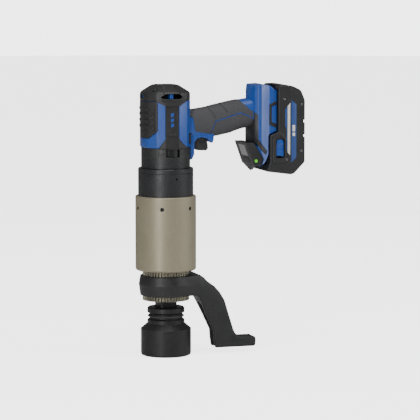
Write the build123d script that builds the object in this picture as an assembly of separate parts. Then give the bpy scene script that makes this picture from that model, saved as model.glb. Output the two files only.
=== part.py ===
"""Battery torque wrench: pistol power head on a planetary torque multiplier, with reaction arm and socket.

The tool stands nose-down on its socket.  +Z runs up the output axis, the origin is the middle of the
socket's open face, and +X points along the handle to the battery.  The near side is -Y, the far side +Y.
All sizes are millimetres.
"""
import math
import os

from build123d import *

# ---------------------------------------------------------------- driving dimensions
# impact socket
SOCKET_LENGTH = 70.4
SOCKET_RADIUS = 36.5
SOCKET_BODY_LENGTH = 39.0
SOCKET_CONE_LENGTH = 8.0
SOCKET_NECK_RADIUS = 27.0
SOCKET_EDGE = 3.0
GROOVE_RADIUS = 23.75
GROOVE_LOW = 51.8
GROOVE_HIGH = 63.0
GROOVE_SLOPE = 2.4
HEX_FLATS = 50.0
HEX_DEPTH = 30.0
STUD_BORE_RADIUS = 16.0
RETAINING_RING_RADIUS = 1.3
CROSS_HOLE_RADIUS = 2.5

# square drive and its shaft
SQUARE_FLATS = 25.4
SQUARE_ENGAGEMENT = 25.0
SQUARE_CORNER = 1.6
SHAFT_RADIUS = 20.0
DETENT_RADIUS = 3.0
DRIVE_STANDOFF = 10.5

# splined reaction hub and the arm on it
SPLINE_TEETH = 48
SPLINE_TIP_RADIUS = 33.85
SPLINE_DEPTH = 1.9
HUB_BELOW_ARM = 6.9
ARM_HEIGHT = 29.4
HUB_ABOVE_ARM = 7.2
ARM_RIDGE_RADIUS = 39.5
ARM_DRAFT = 2.0
ARM_LEG_HALF_WIDTH = 15.5
ARM_LEG_START = 78.0
ARM_REACH = 134.0
ARM_DROP = 109.2
ARM_FOOT_THICKNESS = 14.5
ARM_CHANNEL_HALF_WIDTH = 7.5
ARM_CHANNEL_DEPTH = 9.0
BUSH_WALL = 4.0
HUB_FLANGE_HEIGHT = 9.6
SEAL_HEIGHT = 4.5

# planetary gear housing
HOUSING_RADIUS = 44.0
HOUSING_LENGTH = 108.4
HOUSING_WALL = 4.0
HOUSING_LIP = 4.0
HOUSING_LIP_RADIUS = 35.5
LOCK_SCREW_RADIUS = 3.0
LOCK_SCREW_LENGTH = 8.0
LOCK_SCREW_DROP = 16.8
LOCK_SCREW_COUNT = 6
SCREW_PHASE = 7.5
SCREW_RECESS = 1.2

# gears: ring fixed, sun in, carrier out
RING_TEETH = 48
SUN_TEETH = 12
PLANET_TEETH = 18
PLANET_COUNT = 3
MAIN_MODULE = 1.5
SPEED_MODULE = 1.0
OUTPUT_FACE_WIDTH = 18.0
FIRST_FACE_WIDTH = 14.0
SPEED_FACE_WIDTH = 9.0
CARRIER_THICKNESS = 8.0
MAIN_PIN_RADIUS = 4.0
SPEED_PIN_RADIUS = 2.5
ADDENDUM = 0.7
DEDENDUM = 1.05
BACKLASH = 0.18
PRESSURE_ANGLE = math.radians(20.0)
INPUT_SHAFT_RADIUS = 6.0

# coupling collar, swivel and nose
COLLAR_RADIUS = 40.0
COLLAR_LENGTH = 33.2
COLLAR_SPIGOT = 33.0
COLLAR_BORE_RADIUS = 27.0
SWIVEL_RING_HEIGHT = 7.0
SET_SCREW_RADIUS = 1.6
SET_SCREW_COUNT = 4
SET_SCREW_DROP = 7.0
NOSE_RADIUS = 35.5
NOSE_LENGTH = 16.0
STEM_RADIUS = 30.0
STEM_FLANGE_RADIUS = 33.8
STEM_FLANGE_HEIGHT = 7.5
GEAR_CASE_LENGTH = 14.0
GEAR_CASE_WALL = 3.0
SPIGOT_RADIUS = 28.5
SPIGOT_HEIGHT = 9.0
SELECTOR_ANGLE = 8.1

# power head, measured from its lower edge
HEAD_LENGTH = 90.0
HEAD_WALL = 3.0
CASE_SCREW_RADIUS = 1.4
CASE_SCREW_LENGTH = 14.0
CASE_SCREW_HEAD_RADIUS = 2.6
CASE_SCREW_HEAD_HEIGHT = 2.0
CAP_SCREW_SPAN = 22.5
CAP_SCREW_SEAT = 78.0
CAP_EDGE = 67.6
CAP_TAB = 61.5
CAP_BEVEL = 11.0
CAP_INSET = 14.0
BADGE_LOW = 15.0
BADGE_HALF_WIDTH = 10.0
BADGE_DEPTH = 2.4
TONGUE_DEPTH = 4.0
MOTOR_RADIUS = 28.0
MOTOR_LENGTH = 34.0
ROTOR_RADIUS = 14.0
MOTOR_SHAFT_RADIUS = 4.0
FAN_RADIUS = 25.0
BEARING_RADIUS = 9.0
BEARING_HEIGHT = 5.0

# grip, trigger and foot
GRIP_SKIN = 2.4
GRIP_WALL = 2.6
TRIGGER_HALF_WIDTH = 7.5
TRIGGER_TRAVEL = 6.0
FOOT_HALF_WIDTH = 32.0
FOOT_WALL = 3.0
BUMPER_THICKNESS = 2.0
FOOT_EDGE = 2.5
GUARD_HALF_WIDTH = 13.5
DISPLAY_HALF_WIDTH = 29.0
DISPLAY_EDGE = 0.8
DISPLAY_TIP = 10.0
KEY_HALF_LENGTH = 12.0
KEY_HALF_WIDTH = 3.4
KEY_HEIGHT = 2.4
KEY_TRAVEL = 0.8
LED_RADIUS = 2.2

# battery
BATTERY_HALF_WIDTH = 37.0
BATTERY_WALL = 1.9
BATTERY_EDGE = 1.8
BATTERY_BACK = 200.0
BATTERY_PARTING = 178.0
BATTERY_FACE = 159.3
CELL_RADIUS = 10.6
CELL_LENGTH = 70.0
CELL_PITCH = 21.8
CELL_COUNT = 5
RAIL_NECK_HALF_WIDTH = 19.0
RAIL_HEAD_HALF_WIDTH = 23.0
RAIL_INNER = 15.0

# clearances
RUNNING = 0.05
SLIDING = 0.15
GAP = 0.3
OPEN_GAP = 0.5

# ---------------------------------------------------------------- levels up the axis
SOCKET_TOP = SOCKET_LENGTH
HUB_LOW = SOCKET_TOP + DRIVE_STANDOFF
ARM_LOW = HUB_LOW + HUB_BELOW_ARM
ARM_TOP = ARM_LOW + ARM_HEIGHT
HOUSING_LOW = ARM_TOP + HUB_ABOVE_ARM
HOUSING_TOP = HOUSING_LOW + HOUSING_LENGTH
FLANGE_LOW = HOUSING_LOW + HOUSING_LIP
FLANGE_TOP = FLANGE_LOW + HUB_FLANGE_HEIGHT
OUTPUT_CARRIER_LOW = FLANGE_TOP + OPEN_GAP
OUTPUT_GEAR_LOW = OUTPUT_CARRIER_LOW + CARRIER_THICKNESS + OPEN_GAP
FIRST_CARRIER_LOW = OUTPUT_GEAR_LOW + OUTPUT_FACE_WIDTH + 2 * OPEN_GAP
FIRST_GEAR_LOW = FIRST_CARRIER_LOW + CARRIER_THICKNESS + OPEN_GAP
FIRST_GEAR_TOP = FIRST_GEAR_LOW + FIRST_FACE_WIDTH
COLLAR_LOW = HOUSING_TOP - COLLAR_SPIGOT
COLLAR_TOP = HOUSING_TOP + COLLAR_LENGTH
NOSE_LOW = COLLAR_TOP + SWIVEL_RING_HEIGHT
CASE_LOW = NOSE_LOW + NOSE_LENGTH
HEAD_LOW = CASE_LOW + GEAR_CASE_LENGTH
HEAD_TOP = HEAD_LOW + HEAD_LENGTH
CAP_LOW = HEAD_LOW + CAP_EDGE
HOUSING_BORE_RADIUS = HOUSING_RADIUS - HOUSING_WALL
SELECTOR_SEAT_RADIUS = NOSE_RADIUS - 4.6

BASE = (Align.CENTER, Align.CENTER, Align.MIN)
NODES = {}


# ---------------------------------------------------------------- shape helpers
def disc(radius, low, high):
    """Cylinder about the output axis."""
    return Pos(0, 0, low) * Cylinder(radius, high - low, align=BASE)


def tube(outer, inner, low, high):
    """Plain ring about the output axis."""
    return disc(outer, low, high) - disc(inner, low, high)


def sector(outer, inner, low, high, start, end):
    """Part of a ring between two angles, in degrees from -Y towards +X, under a quarter turn."""
    reach = 2 * outer
    first, last = (math.radians(angle - 90) for angle in (start, end))
    wedge = [(0, 0), (reach * math.cos(first), reach * math.sin(first)),
             (reach * math.cos(last), reach * math.sin(last))]
    return tube(outer, inner, low, high) & plan_prism(wedge, low, high)


def turned(outline):
    """Solid turned about the output axis from (radius, height) points."""
    return revolve(make_face(Polyline(*[(r, 0, z) for r, z in outline], close=True)), axis=Axis.Z)


def side_prism(outline, near, far):
    """Solid from an outline of (x, height above the head's lower edge), between two Y values."""
    points = [(x, near, HEAD_LOW + rise) for x, rise in outline]
    return extrude(make_face(Polyline(*points, close=True)), amount=far - near, dir=(0, 1, 0))


def rounded_prism(outline, half, radius):
    """Side prism between -half and +half in Y, with its two outer rims rounded."""
    solid = side_prism(outline, -half, half)
    rims = solid.edges().filter_by(lambda edge: abs(abs(edge.center().Y) - half) < 0.01)
    return fillet(rims, radius)


def plan_prism(outline, low, high):
    """Solid from an outline in plan, between two heights."""
    face = make_face(Polyline(*[(x, y, low) for x, y in outline], close=True))
    return extrude(face, amount=high - low, dir=(0, 0, 1))


def block(x_range, y_range, z_range):
    """Box between three pairs of limits."""
    size = [high - low for low, high in (x_range, y_range, z_range)]
    centre = [(high + low) / 2 for low, high in (x_range, y_range, z_range)]
    return Pos(*centre) * Box(*size)


def around(count, phase, shape):
    """Copies of a shape, evenly spaced about the output axis."""
    return [Rot(0, 0, phase + turn * 360 / count) * shape for turn in range(count)]


def both_sides(shape):
    """A near-side shape and its mirror image on the far side."""
    return [shape, mirror(shape, about=Plane.XZ)]


def joined(shapes):
    """Union of a list of shapes."""
    whole = shapes[0]
    for shape in shapes[1:]:
        whole = whole + shape
    return whole


def cut_all(body, tools):
    """A body with every tool removed from it."""
    for tool in tools:
        body = body - tool
    return body


def keep(name, *shapes):
    """Hold the solids of one node until they are written."""
    NODES[name] = [solid for shape in shapes for solid in shape.solids()]


# ---------------------------------------------------------------- gears
def involute(angle):
    """Involute function."""
    return math.tan(angle) - angle


def gear_face(teeth, module, tip, root, slack, phase, low):
    """Face with the outline of a spur gear; a negative slack widens the teeth, as for a ring's cut-out."""
    pitch = module * teeth / 2
    base = pitch * math.cos(PRESSURE_ANGLE)
    half_pitch = (math.pi * module / 2 - slack) / (2 * pitch) + involute(PRESSURE_ANGLE)
    flank = []
    for radius in (root, pitch, tip):
        pressure = math.acos(min(1.0, base / radius))
        flank.append((radius, half_pitch - involute(pressure)))
    points = []
    for tooth in range(teeth):
        middle = 2 * math.pi * tooth / teeth + phase
        for radius, half in flank:
            points.append((radius, middle - half))
        for radius, half in reversed(flank):
            points.append((radius, middle + half))
    corners = [(r * math.cos(a), r * math.sin(a), low) for r, a in points]
    return make_face(Polyline(*corners, close=True))


def spur_gear(teeth, module, phase, low, width):
    """External gear about the Z axis."""
    pitch = module * teeth / 2
    tip = pitch + ADDENDUM * module
    root = pitch - DEDENDUM * module
    return extrude(gear_face(teeth, module, tip, root, BACKLASH, phase, low), amount=width, dir=(0, 0, 1))


def ring_gear(module, outer, low, high):
    """Internal gear with a tooth on the +X axis."""
    pitch = module * RING_TEETH / 2
    tip = pitch + DEDENDUM * module
    root = pitch - ADDENDUM * module
    phase = math.pi / RING_TEETH
    hole = gear_face(RING_TEETH, module, tip, root, -BACKLASH, phase, low)
    return disc(outer, low, high) - extrude(hole, amount=high - low, dir=(0, 0, 1))


def orbit(module):
    """Distance of a planet's pin from the axis."""
    return module * (SUN_TEETH + PLANET_TEETH) / 2


def carrier(module, pin_radius, low, thickness, width):
    """Carrier disc with its planet pins standing on it."""
    rim = orbit(module) + 2 * pin_radius
    pin = Pos(orbit(module), 0, low) * Cylinder(pin_radius, thickness + OPEN_GAP + width, align=BASE)
    return joined([disc(rim, low, low + thickness)] + around(PLANET_COUNT, SCREW_PHASE, pin))


def planets(prefix, module, pin_radius, low, width):
    """Three planets, each a node of its own, in mesh with sun and ring."""
    wheel = spur_gear(PLANET_TEETH, module, math.pi / PLANET_TEETH, low, width)
    wheel = wheel - disc(pin_radius + RUNNING, low, low + width)
    placed = around(PLANET_COUNT, SCREW_PHASE, Pos(orbit(module), 0, 0) * wheel)
    for letter, planet in zip("abc", placed):
        keep(f"{prefix}_planet_{letter}", planet)


def sun(module, low, width):
    """Sun gear in mesh with the planets."""
    return Rot(0, 0, SCREW_PHASE) * spur_gear(SUN_TEETH, module, 0, low, width)


# ---------------------------------------------------------------- socket, drive and reaction arm
def impact_socket():
    """Hexagon socket with a square bore at its rear and a groove for the retaining ring."""
    neck = SOCKET_NECK_RADIUS
    slope = GROOVE_SLOPE
    outline = [
        (0, 0), (SOCKET_RADIUS - SOCKET_EDGE, 0), (SOCKET_RADIUS - SOCKET_EDGE * 0.3, SOCKET_EDGE * 0.3),
        (SOCKET_RADIUS, SOCKET_EDGE), (SOCKET_RADIUS, SOCKET_BODY_LENGTH),
        (neck, SOCKET_BODY_LENGTH + SOCKET_CONE_LENGTH), (neck, GROOVE_LOW),
        (GROOVE_RADIUS, GROOVE_LOW + slope), (GROOVE_RADIUS, GROOVE_HIGH - slope), (neck, GROOVE_HIGH),
        (neck, SOCKET_TOP - 1.5), (neck - 1.5, SOCKET_TOP), (0, SOCKET_TOP),
    ]
    square = SQUARE_FLATS + 2 * RUNNING
    square_low = SOCKET_TOP - SQUARE_ENGAGEMENT - OPEN_GAP
    drive_hole = Rot(0, 0, SCREW_PHASE) * block((-square / 2, square / 2), (-square / 2, square / 2),
                                                (square_low, SOCKET_TOP))
    hexagon = extrude(RegularPolygon(HEX_FLATS / 2, 6, major_radius=False), amount=HEX_DEPTH)
    middle = (GROOVE_LOW + GROOVE_HIGH) / 2
    cross_hole = Pos(0, 0, middle) * Rot(0, 90, 0) * Cylinder(CROSS_HOLE_RADIUS, 4 * SOCKET_RADIUS)
    cross_hole = Rot(0, 0, SCREW_PHASE) * cross_hole
    bore = disc(STUD_BORE_RADIUS, 0, square_low)
    openings = [drive_hole, Rot(0, 0, SCREW_PHASE) * hexagon, bore, cross_hole]
    keep("impact_socket", cut_all(turned(outline), openings))
    ring_orbit = GROOVE_RADIUS + RETAINING_RING_RADIUS
    keep("retaining_ring", Pos(0, 0, middle) * Torus(ring_orbit, RETAINING_RING_RADIUS))


def drive_shaft():
    """Output carrier, shaft and square drive in one forging, with a detent ball in one flat."""
    square_low = SOCKET_TOP - SQUARE_ENGAGEMENT
    half = SQUARE_FLATS / 2
    square = Rot(0, 0, SCREW_PHASE) * block((-half, half), (-half, half), (square_low, HUB_LOW))
    corners = disc(half * math.sqrt(2) - SQUARE_CORNER, square_low, HUB_LOW)
    shaft = disc(SHAFT_RADIUS, HUB_LOW, OUTPUT_CARRIER_LOW)
    ball_level = (GROOVE_LOW + GROOVE_HIGH) / 2
    seat = Rot(0, 0, SCREW_PHASE) * Pos(half - DETENT_RADIUS, 0, ball_level) * Rot(0, 90, 0) * Cylinder(
        DETENT_RADIUS, 2 * DETENT_RADIUS)
    whole = (square & corners) + shaft + carrier(
        MAIN_MODULE, MAIN_PIN_RADIUS, OUTPUT_CARRIER_LOW, CARRIER_THICKNESS, OUTPUT_FACE_WIDTH)
    keep("drive_shaft", whole - seat)
    ball = Pos(half - DETENT_RADIUS, 0, ball_level) * Sphere(DETENT_RADIUS - RUNNING)
    keep("drive_detent_ball", Rot(0, 0, SCREW_PHASE) * ball)


def spline_outline(tip, root, tip_share, root_share, low):
    """Straight-sided spline outline; the shares are tooth widths over the tooth pitch."""
    points = []
    pitch = 2 * math.pi / SPLINE_TEETH
    for tooth in range(SPLINE_TEETH):
        middle = tooth * pitch + math.radians(SCREW_PHASE)
        for radius, offset in ((root, -root_share), (tip, -tip_share), (tip, tip_share), (root, root_share)):
            angle = middle + offset * pitch / 2
            points.append((radius * math.cos(angle), radius * math.sin(angle), low))
    return make_face(Polyline(*points, close=True))


def reaction_hub():
    """Splined nose of the gear housing with its flange, bush and shaft seal."""
    bush_radius = SHAFT_RADIUS + BUSH_WALL
    spline = extrude(
        spline_outline(SPLINE_TIP_RADIUS, SPLINE_TIP_RADIUS - SPLINE_DEPTH, 0.34, 0.8, HUB_LOW),
        amount=HOUSING_LOW - HUB_LOW, dir=(0, 0, 1))
    neck = disc(HOUSING_LIP_RADIUS, HOUSING_LOW, FLANGE_LOW)
    flange = disc(HOUSING_BORE_RADIUS, FLANGE_LOW, FLANGE_TOP)
    keep("reaction_hub", joined([spline, neck, flange]) - disc(bush_radius, HUB_LOW, FLANGE_TOP))
    keep("output_bush", tube(bush_radius, SHAFT_RADIUS + RUNNING, HUB_LOW + SEAL_HEIGHT, FLANGE_TOP))
    keep("shaft_seal", tube(bush_radius, SHAFT_RADIUS + RUNNING, HUB_LOW, HUB_LOW + SEAL_HEIGHT))


def reaction_arm():
    """Cast reaction arm: splined ring, cranked leg with a channel on its inside, and a flat foot."""
    ring = turned([
        (0, ARM_LOW), (ARM_RIDGE_RADIUS - ARM_DRAFT, ARM_LOW),
        (ARM_RIDGE_RADIUS, ARM_LOW + 0.55 * ARM_HEIGHT), (ARM_RIDGE_RADIUS - ARM_DRAFT, ARM_TOP),
        (0, ARM_TOP)])
    foot_low = ARM_TOP - ARM_DROP
    foot_top = foot_low + ARM_FOOT_THICKNESS
    leg = [
        (0, ARM_LOW), (0, ARM_TOP), (46, ARM_TOP), (57, ARM_TOP - 9.5), (69, ARM_TOP - 17.8),
        (78, ARM_TOP - 27.4), (85.4, ARM_TOP - 39.3), (98.9, foot_top + 11.8), (101.6, foot_top + 6),
        (106.5, foot_top + 1.2), (113, foot_top), (ARM_REACH, foot_top), (ARM_REACH, foot_low),
        (70, foot_low), (70, foot_low + 23), (46.7, ARM_LOW - 6), (41.5, ARM_LOW)]
    points = [(x, -ARM_RIDGE_RADIUS, z) for x, z in leg]
    crank = extrude(make_face(Polyline(*points, close=True)), amount=2 * ARM_RIDGE_RADIUS, dir=(0, 1, 0))
    lean = math.asin((ARM_RIDGE_RADIUS - ARM_LEG_HALF_WIDTH) / ARM_LEG_START)
    waist = (ARM_RIDGE_RADIUS * math.sin(lean), ARM_RIDGE_RADIUS * math.cos(lean))
    heel = (ARM_LEG_START + ARM_LEG_HALF_WIDTH * math.sin(lean), ARM_LEG_HALF_WIDTH * math.cos(lean))
    half_plan = [waist, heel, (ARM_REACH - 5, ARM_LEG_HALF_WIDTH), (ARM_REACH, ARM_LEG_HALF_WIDTH - 5)]
    plan = half_plan + [(x, -y) for x, y in reversed(half_plan)]
    leg_solid = crank & plan_prism(plan, foot_low, ARM_TOP)
    channel_outline = [
        (60, foot_low - 1), (70 + ARM_CHANNEL_DEPTH, foot_low - 1), (70 + ARM_CHANNEL_DEPTH, foot_low + 24),
        (52 + ARM_CHANNEL_DEPTH, ARM_LOW - 12), (44, ARM_LOW - 12)]
    half = ARM_CHANNEL_HALF_WIDTH
    channel_points = [(x, -half, z) for x, z in channel_outline]
    channel = extrude(make_face(Polyline(*channel_points, close=True)), amount=2 * half, dir=(0, 1, 0))
    bore = extrude(
        spline_outline(
            SPLINE_TIP_RADIUS + SLIDING, SPLINE_TIP_RADIUS - SPLINE_DEPTH + SLIDING, 0.42, 0.88, ARM_LOW),
        amount=ARM_HEIGHT, dir=(0, 0, 1))
    keep("reaction_arm", cut_all(ring + leg_solid, [channel, bore]))


# ---------------------------------------------------------------- gear housing and swivel
def radial_screw(radius, length, start, level):
    """Grub screw lying on the +X axis with its hexagon outwards."""
    body = Pos(start - length / 2, 0, level) * Rot(0, 90, 0) * Cylinder(radius, length)
    key = Pos(start - radius, 0, level) * Rot(0, 90, 0) * extrude(
        RegularPolygon(radius * 0.5, 6, major_radius=False), amount=2 * radius)
    return body - key


def gear_housing():
    """Cylindrical housing, its ring gear, and the radial grub screws that lock the coupling collar."""
    level = HOUSING_TOP - LOCK_SCREW_DROP
    shell = tube(HOUSING_RADIUS, HOUSING_BORE_RADIUS, HOUSING_LOW, HOUSING_TOP)
    lip = tube(HOUSING_BORE_RADIUS + 1, HOUSING_LIP_RADIUS, HOUSING_LOW, FLANGE_LOW)
    shell = shell + lip
    rims = shell.edges().filter_by(GeomType.CIRCLE).filter_by(
        lambda edge: abs(edge.radius - HOUSING_RADIUS) < 0.01)
    shell = fillet(rims.sort_by(Axis.Z)[0], 3.4)
    rims = shell.edges().filter_by(GeomType.CIRCLE).filter_by(
        lambda edge: abs(edge.radius - HOUSING_RADIUS) < 0.01)
    shell = fillet(rims.sort_by(Axis.Z)[-1], 1.6)
    hole = Pos(HOUSING_RADIUS, 0, level) * Rot(0, 90, 0) * Cylinder(LOCK_SCREW_RADIUS, 3 * HOUSING_WALL)
    keep("gear_housing", cut_all(shell, around(LOCK_SCREW_COUNT, SCREW_PHASE, hole)))
    screw = radial_screw(LOCK_SCREW_RADIUS, LOCK_SCREW_LENGTH, HOUSING_RADIUS - SCREW_RECESS, level)
    keep("housing_lock_screws", *around(LOCK_SCREW_COUNT, SCREW_PHASE, screw))
    ring = ring_gear(MAIN_MODULE, HOUSING_BORE_RADIUS, FLANGE_TOP, FIRST_GEAR_TOP + 2)
    keep("main_ring_gear", Rot(0, 0, SCREW_PHASE) * ring)


def coupling_collar():
    """Collar locked in the gear housing, with the swivel bush and the ring that holds the nose in."""
    pocket = STEM_FLANGE_RADIUS + GAP
    pocket_low = COLLAR_TOP - 26
    body = tube(COLLAR_RADIUS, COLLAR_BORE_RADIUS, COLLAR_LOW, COLLAR_TOP)
    body = body - disc(pocket, pocket_low, COLLAR_TOP)
    screw_start = HOUSING_RADIUS - SCREW_RECESS
    lock_hole = Pos(screw_start, 0, HOUSING_TOP - LOCK_SCREW_DROP) * Rot(0, 90, 0) * Cylinder(
        LOCK_SCREW_RADIUS, 2 * LOCK_SCREW_LENGTH)
    set_level = COLLAR_TOP - SET_SCREW_DROP
    set_hole = Pos(COLLAR_RADIUS, 0, set_level) * Rot(0, 90, 0) * Cylinder(
        SET_SCREW_RADIUS, 2 * (COLLAR_RADIUS - pocket))
    holes = around(LOCK_SCREW_COUNT, SCREW_PHASE, lock_hole) + around(SET_SCREW_COUNT, SCREW_PHASE, set_hole)
    keep("coupling_collar", cut_all(body, holes))
    set_screw = radial_screw(SET_SCREW_RADIUS, 4.0, COLLAR_RADIUS - SCREW_RECESS, set_level)
    keep("collar_set_screws", *around(SET_SCREW_COUNT, SCREW_PHASE, set_screw))
    bush_low = pocket_low + GAP + STEM_FLANGE_HEIGHT + GAP
    keep("swivel_bush", tube(pocket, STEM_RADIUS + RUNNING, bush_low, COLLAR_TOP))
    ring = tube(COLLAR_RADIUS, STEM_RADIUS + GAP, COLLAR_TOP, NOSE_LOW)
    groove = tube(COLLAR_RADIUS + 1, COLLAR_RADIUS - 0.7, COLLAR_TOP - 1, COLLAR_TOP + 0.7)
    top_rim = ring.edges().filter_by(GeomType.CIRCLE).sort_by(SortBy.RADIUS)[-2:].sort_by(Axis.Z)[-1]
    keep("swivel_ring", chamfer(top_rim, 0.8) - groove)


def nose_sleeve():
    """Swivelling sleeve between the gear housing and the power head."""
    flange_low = COLLAR_TOP - 26 + GAP
    outline = [
        (COLLAR_BORE_RADIUS - 3, flange_low), (STEM_FLANGE_RADIUS, flange_low),
        (STEM_FLANGE_RADIUS, flange_low + STEM_FLANGE_HEIGHT), (STEM_RADIUS, flange_low + STEM_FLANGE_HEIGHT),
        (STEM_RADIUS, NOSE_LOW + GAP), (NOSE_RADIUS, NOSE_LOW + GAP), (NOSE_RADIUS, CASE_LOW),
        (COLLAR_BORE_RADIUS - 3, CASE_LOW)]
    keep("nose_sleeve", turned(outline))


def main_gear_train():
    """Output stage and first stage of the multiplier."""
    planets("output", MAIN_MODULE, MAIN_PIN_RADIUS, OUTPUT_GEAR_LOW, OUTPUT_FACE_WIDTH)
    planets("first", MAIN_MODULE, MAIN_PIN_RADIUS, FIRST_GEAR_LOW, FIRST_FACE_WIDTH)
    output_sun = sun(MAIN_MODULE, OUTPUT_GEAR_LOW, FIRST_CARRIER_LOW - OUTPUT_GEAR_LOW)
    plate = carrier(MAIN_MODULE, MAIN_PIN_RADIUS, FIRST_CARRIER_LOW, CARRIER_THICKNESS, FIRST_FACE_WIDTH)
    keep("first_carrier", output_sun + plate)
    joint_level = COLLAR_TOP - 10
    first_sun = sun(MAIN_MODULE, FIRST_GEAR_LOW, FIRST_FACE_WIDTH)
    shaft = disc(INPUT_SHAFT_RADIUS, FIRST_GEAR_TOP, joint_level)
    keep("input_shaft", first_sun + shaft)
    race_low = COLLAR_LOW + 6
    keep("input_bush", tube(COLLAR_BORE_RADIUS, INPUT_SHAFT_RADIUS + RUNNING, race_low, race_low + 10))


# ---------------------------------------------------------------- power head
def head_section(inset):
    """Corners of the head's plan outline, pulled in all round."""
    side = [(33, 14), (24.5, 28.5), (BADGE_HALF_WIDTH, 36), (-BADGE_HALF_WIDTH, 36), (-22, 31.5),
            (-32.5, 20.5), (-36, 9)]
    pulled = []
    for x, y in side:
        reach = math.hypot(x, y)
        pulled.append((x * (reach - inset) / reach, y * (reach - inset) / reach))
    return pulled + [(x, -y) for x, y in reversed(pulled)]


def head_solid(inset, low, high):
    """Prism of the head's plan outline."""
    return plan_prism(head_section(inset), low, high)


def case_tongues():
    """Tapered tongues of the gear case that rise to the badges, one on each side."""
    base = [(-18.4, 0), (-BADGE_HALF_WIDTH, BADGE_LOW), (BADGE_HALF_WIDTH, BADGE_LOW), (17, 7), (26, 0)]
    skin = head_solid(0, HEAD_LOW, CAP_LOW) - head_solid(TONGUE_DEPTH, HEAD_LOW, CAP_LOW)
    return skin & joined(both_sides(side_prism(base, -40, -15)))


def gear_case():
    """Case under the head: ring gear cut inside, selector's window, spigot, and the motor's front wall."""
    spigot_top = HEAD_LOW + SPIGOT_HEIGHT
    ring_outer = SPIGOT_RADIUS - GEAR_CASE_WALL / 2
    seat_low = spigot_top - BEARING_HEIGHT
    body = tube(NOSE_RADIUS, ring_outer, CASE_LOW, HEAD_LOW) + disc(SPIGOT_RADIUS, HEAD_LOW, spigot_top)
    body = body + Rot(0, 0, SCREW_PHASE) * ring_gear(SPEED_MODULE, ring_outer, CASE_LOW, HEAD_LOW)
    hollow = disc(SPIGOT_RADIUS - 2 * GEAR_CASE_WALL, HEAD_LOW, seat_low - GEAR_CASE_WALL / 2)
    window = sector(NOSE_RADIUS + 1, SELECTOR_SEAT_RADIUS - GAP, CASE_LOW + 1, HEAD_LOW - 1, -14.7, 19.1)
    shaft_hole = disc(MOTOR_SHAFT_RADIUS + GAP, HEAD_LOW, spigot_top)
    bearing_seat = disc(BEARING_RADIUS, seat_low, spigot_top)
    tongues = case_tongues()
    keep("gear_case", cut_all(body, [hollow, window, shaft_hole, bearing_seat]) + tongues)
    return tongues


def speed_stage():
    """Planetary stage in the nose, driven by the motor pinion."""
    gear_low = HEAD_LOW - SPEED_FACE_WIDTH - 1
    thickness = 4.0
    plate_low = gear_low - OPEN_GAP - thickness
    planets("speed", SPEED_MODULE, SPEED_PIN_RADIUS, gear_low, SPEED_FACE_WIDTH)
    plate = carrier(SPEED_MODULE, SPEED_PIN_RADIUS, plate_low, thickness, SPEED_FACE_WIDTH)
    socket_low = COLLAR_TOP - 18
    boss = disc(INPUT_SHAFT_RADIUS + 5, socket_low, plate_low)
    pocket = disc(INPUT_SHAFT_RADIUS + RUNNING, socket_low, COLLAR_TOP - 9)
    keep("speed_carrier", plate + boss - pocket)


def selector():
    """Speed selector: a rib on a curved shoe that slides round the gear case."""
    low, high = CASE_LOW + 1.5, HEAD_LOW - 1.5
    shoe = sector(
        SELECTOR_SEAT_RADIUS + 1.6, SELECTOR_SEAT_RADIUS, low, high, SELECTOR_ANGLE - 9, SELECTOR_ANGLE + 9)
    rib = sector(
        NOSE_RADIUS + 0.2, SELECTOR_SEAT_RADIUS, low, high, SELECTOR_ANGLE - 3.3, SELECTOR_ANGLE + 3.3)
    keep("gear_selector", shoe + rib)


def motor():
    """Brushless motor: stator, rotor with pinion, cooling fan and two bearings."""
    stator_low = HEAD_LOW + 13
    stator_high = stator_low + MOTOR_LENGTH
    keep("motor_stator", tube(MOTOR_RADIUS, ROTOR_RADIUS + OPEN_GAP, stator_low, stator_high))
    front_low = HEAD_LOW + SPIGOT_HEIGHT - BEARING_HEIGHT
    rear_low = CAP_LOW
    fan_low = stator_high + 4
    pinion = sun(SPEED_MODULE, HEAD_LOW - SPEED_FACE_WIDTH - 1, SPEED_FACE_WIDTH)
    shaft = disc(MOTOR_SHAFT_RADIUS, HEAD_LOW - 1, rear_low + BEARING_HEIGHT)
    core = disc(ROTOR_RADIUS, stator_low + 1, stator_high - 1)
    keep("rotor", joined([pinion, shaft, core]))
    hub = tube(8, MOTOR_SHAFT_RADIUS, fan_low, fan_low + 10)
    plate = tube(FAN_RADIUS, MOTOR_SHAFT_RADIUS, fan_low, fan_low + 1.6)
    blade = block((7, FAN_RADIUS), (-0.7, 0.7), (fan_low + 1, fan_low + 9))
    keep("cooling_fan", joined([hub, plate] + around(11, 0, blade)))
    bearing = [tube(BEARING_RADIUS, MOTOR_SHAFT_RADIUS + RUNNING, level, level + BEARING_HEIGHT)
               for level in (front_low, rear_low)]
    keep("motor_bearings", *bearing)


HANDLE_STATIONS = [  # x, top, bottom (above the head's lower edge), half width
    (22.0, 54.0, 10.0, 17.0), (40.0, 54.0, 10.5, 17.5), (57.8, 56.6, 12.6, 17.8), (76.8, 61.0, 14.4, 18.0),
    (95.0, 64.8, 18.2, 18.6), (110.6, 67.2, 23.6, 19.2), (128.0, 69.6, 27.0, 20.0)]


def handle_solid(inset):
    """Handle lofted through its stations, pulled in all round."""
    sections = []
    for x, top, bottom, half in HANDLE_STATIONS:
        plane = Plane(origin=(x, 0, HEAD_LOW + (top + bottom) / 2), x_dir=(0, 1, 0), z_dir=(1, 0, 0))
        sections.append(plane * RectangleRounded(2 * (half - inset), top - bottom - 2 * inset, 15 - inset))
    return loft(sections)


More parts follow.
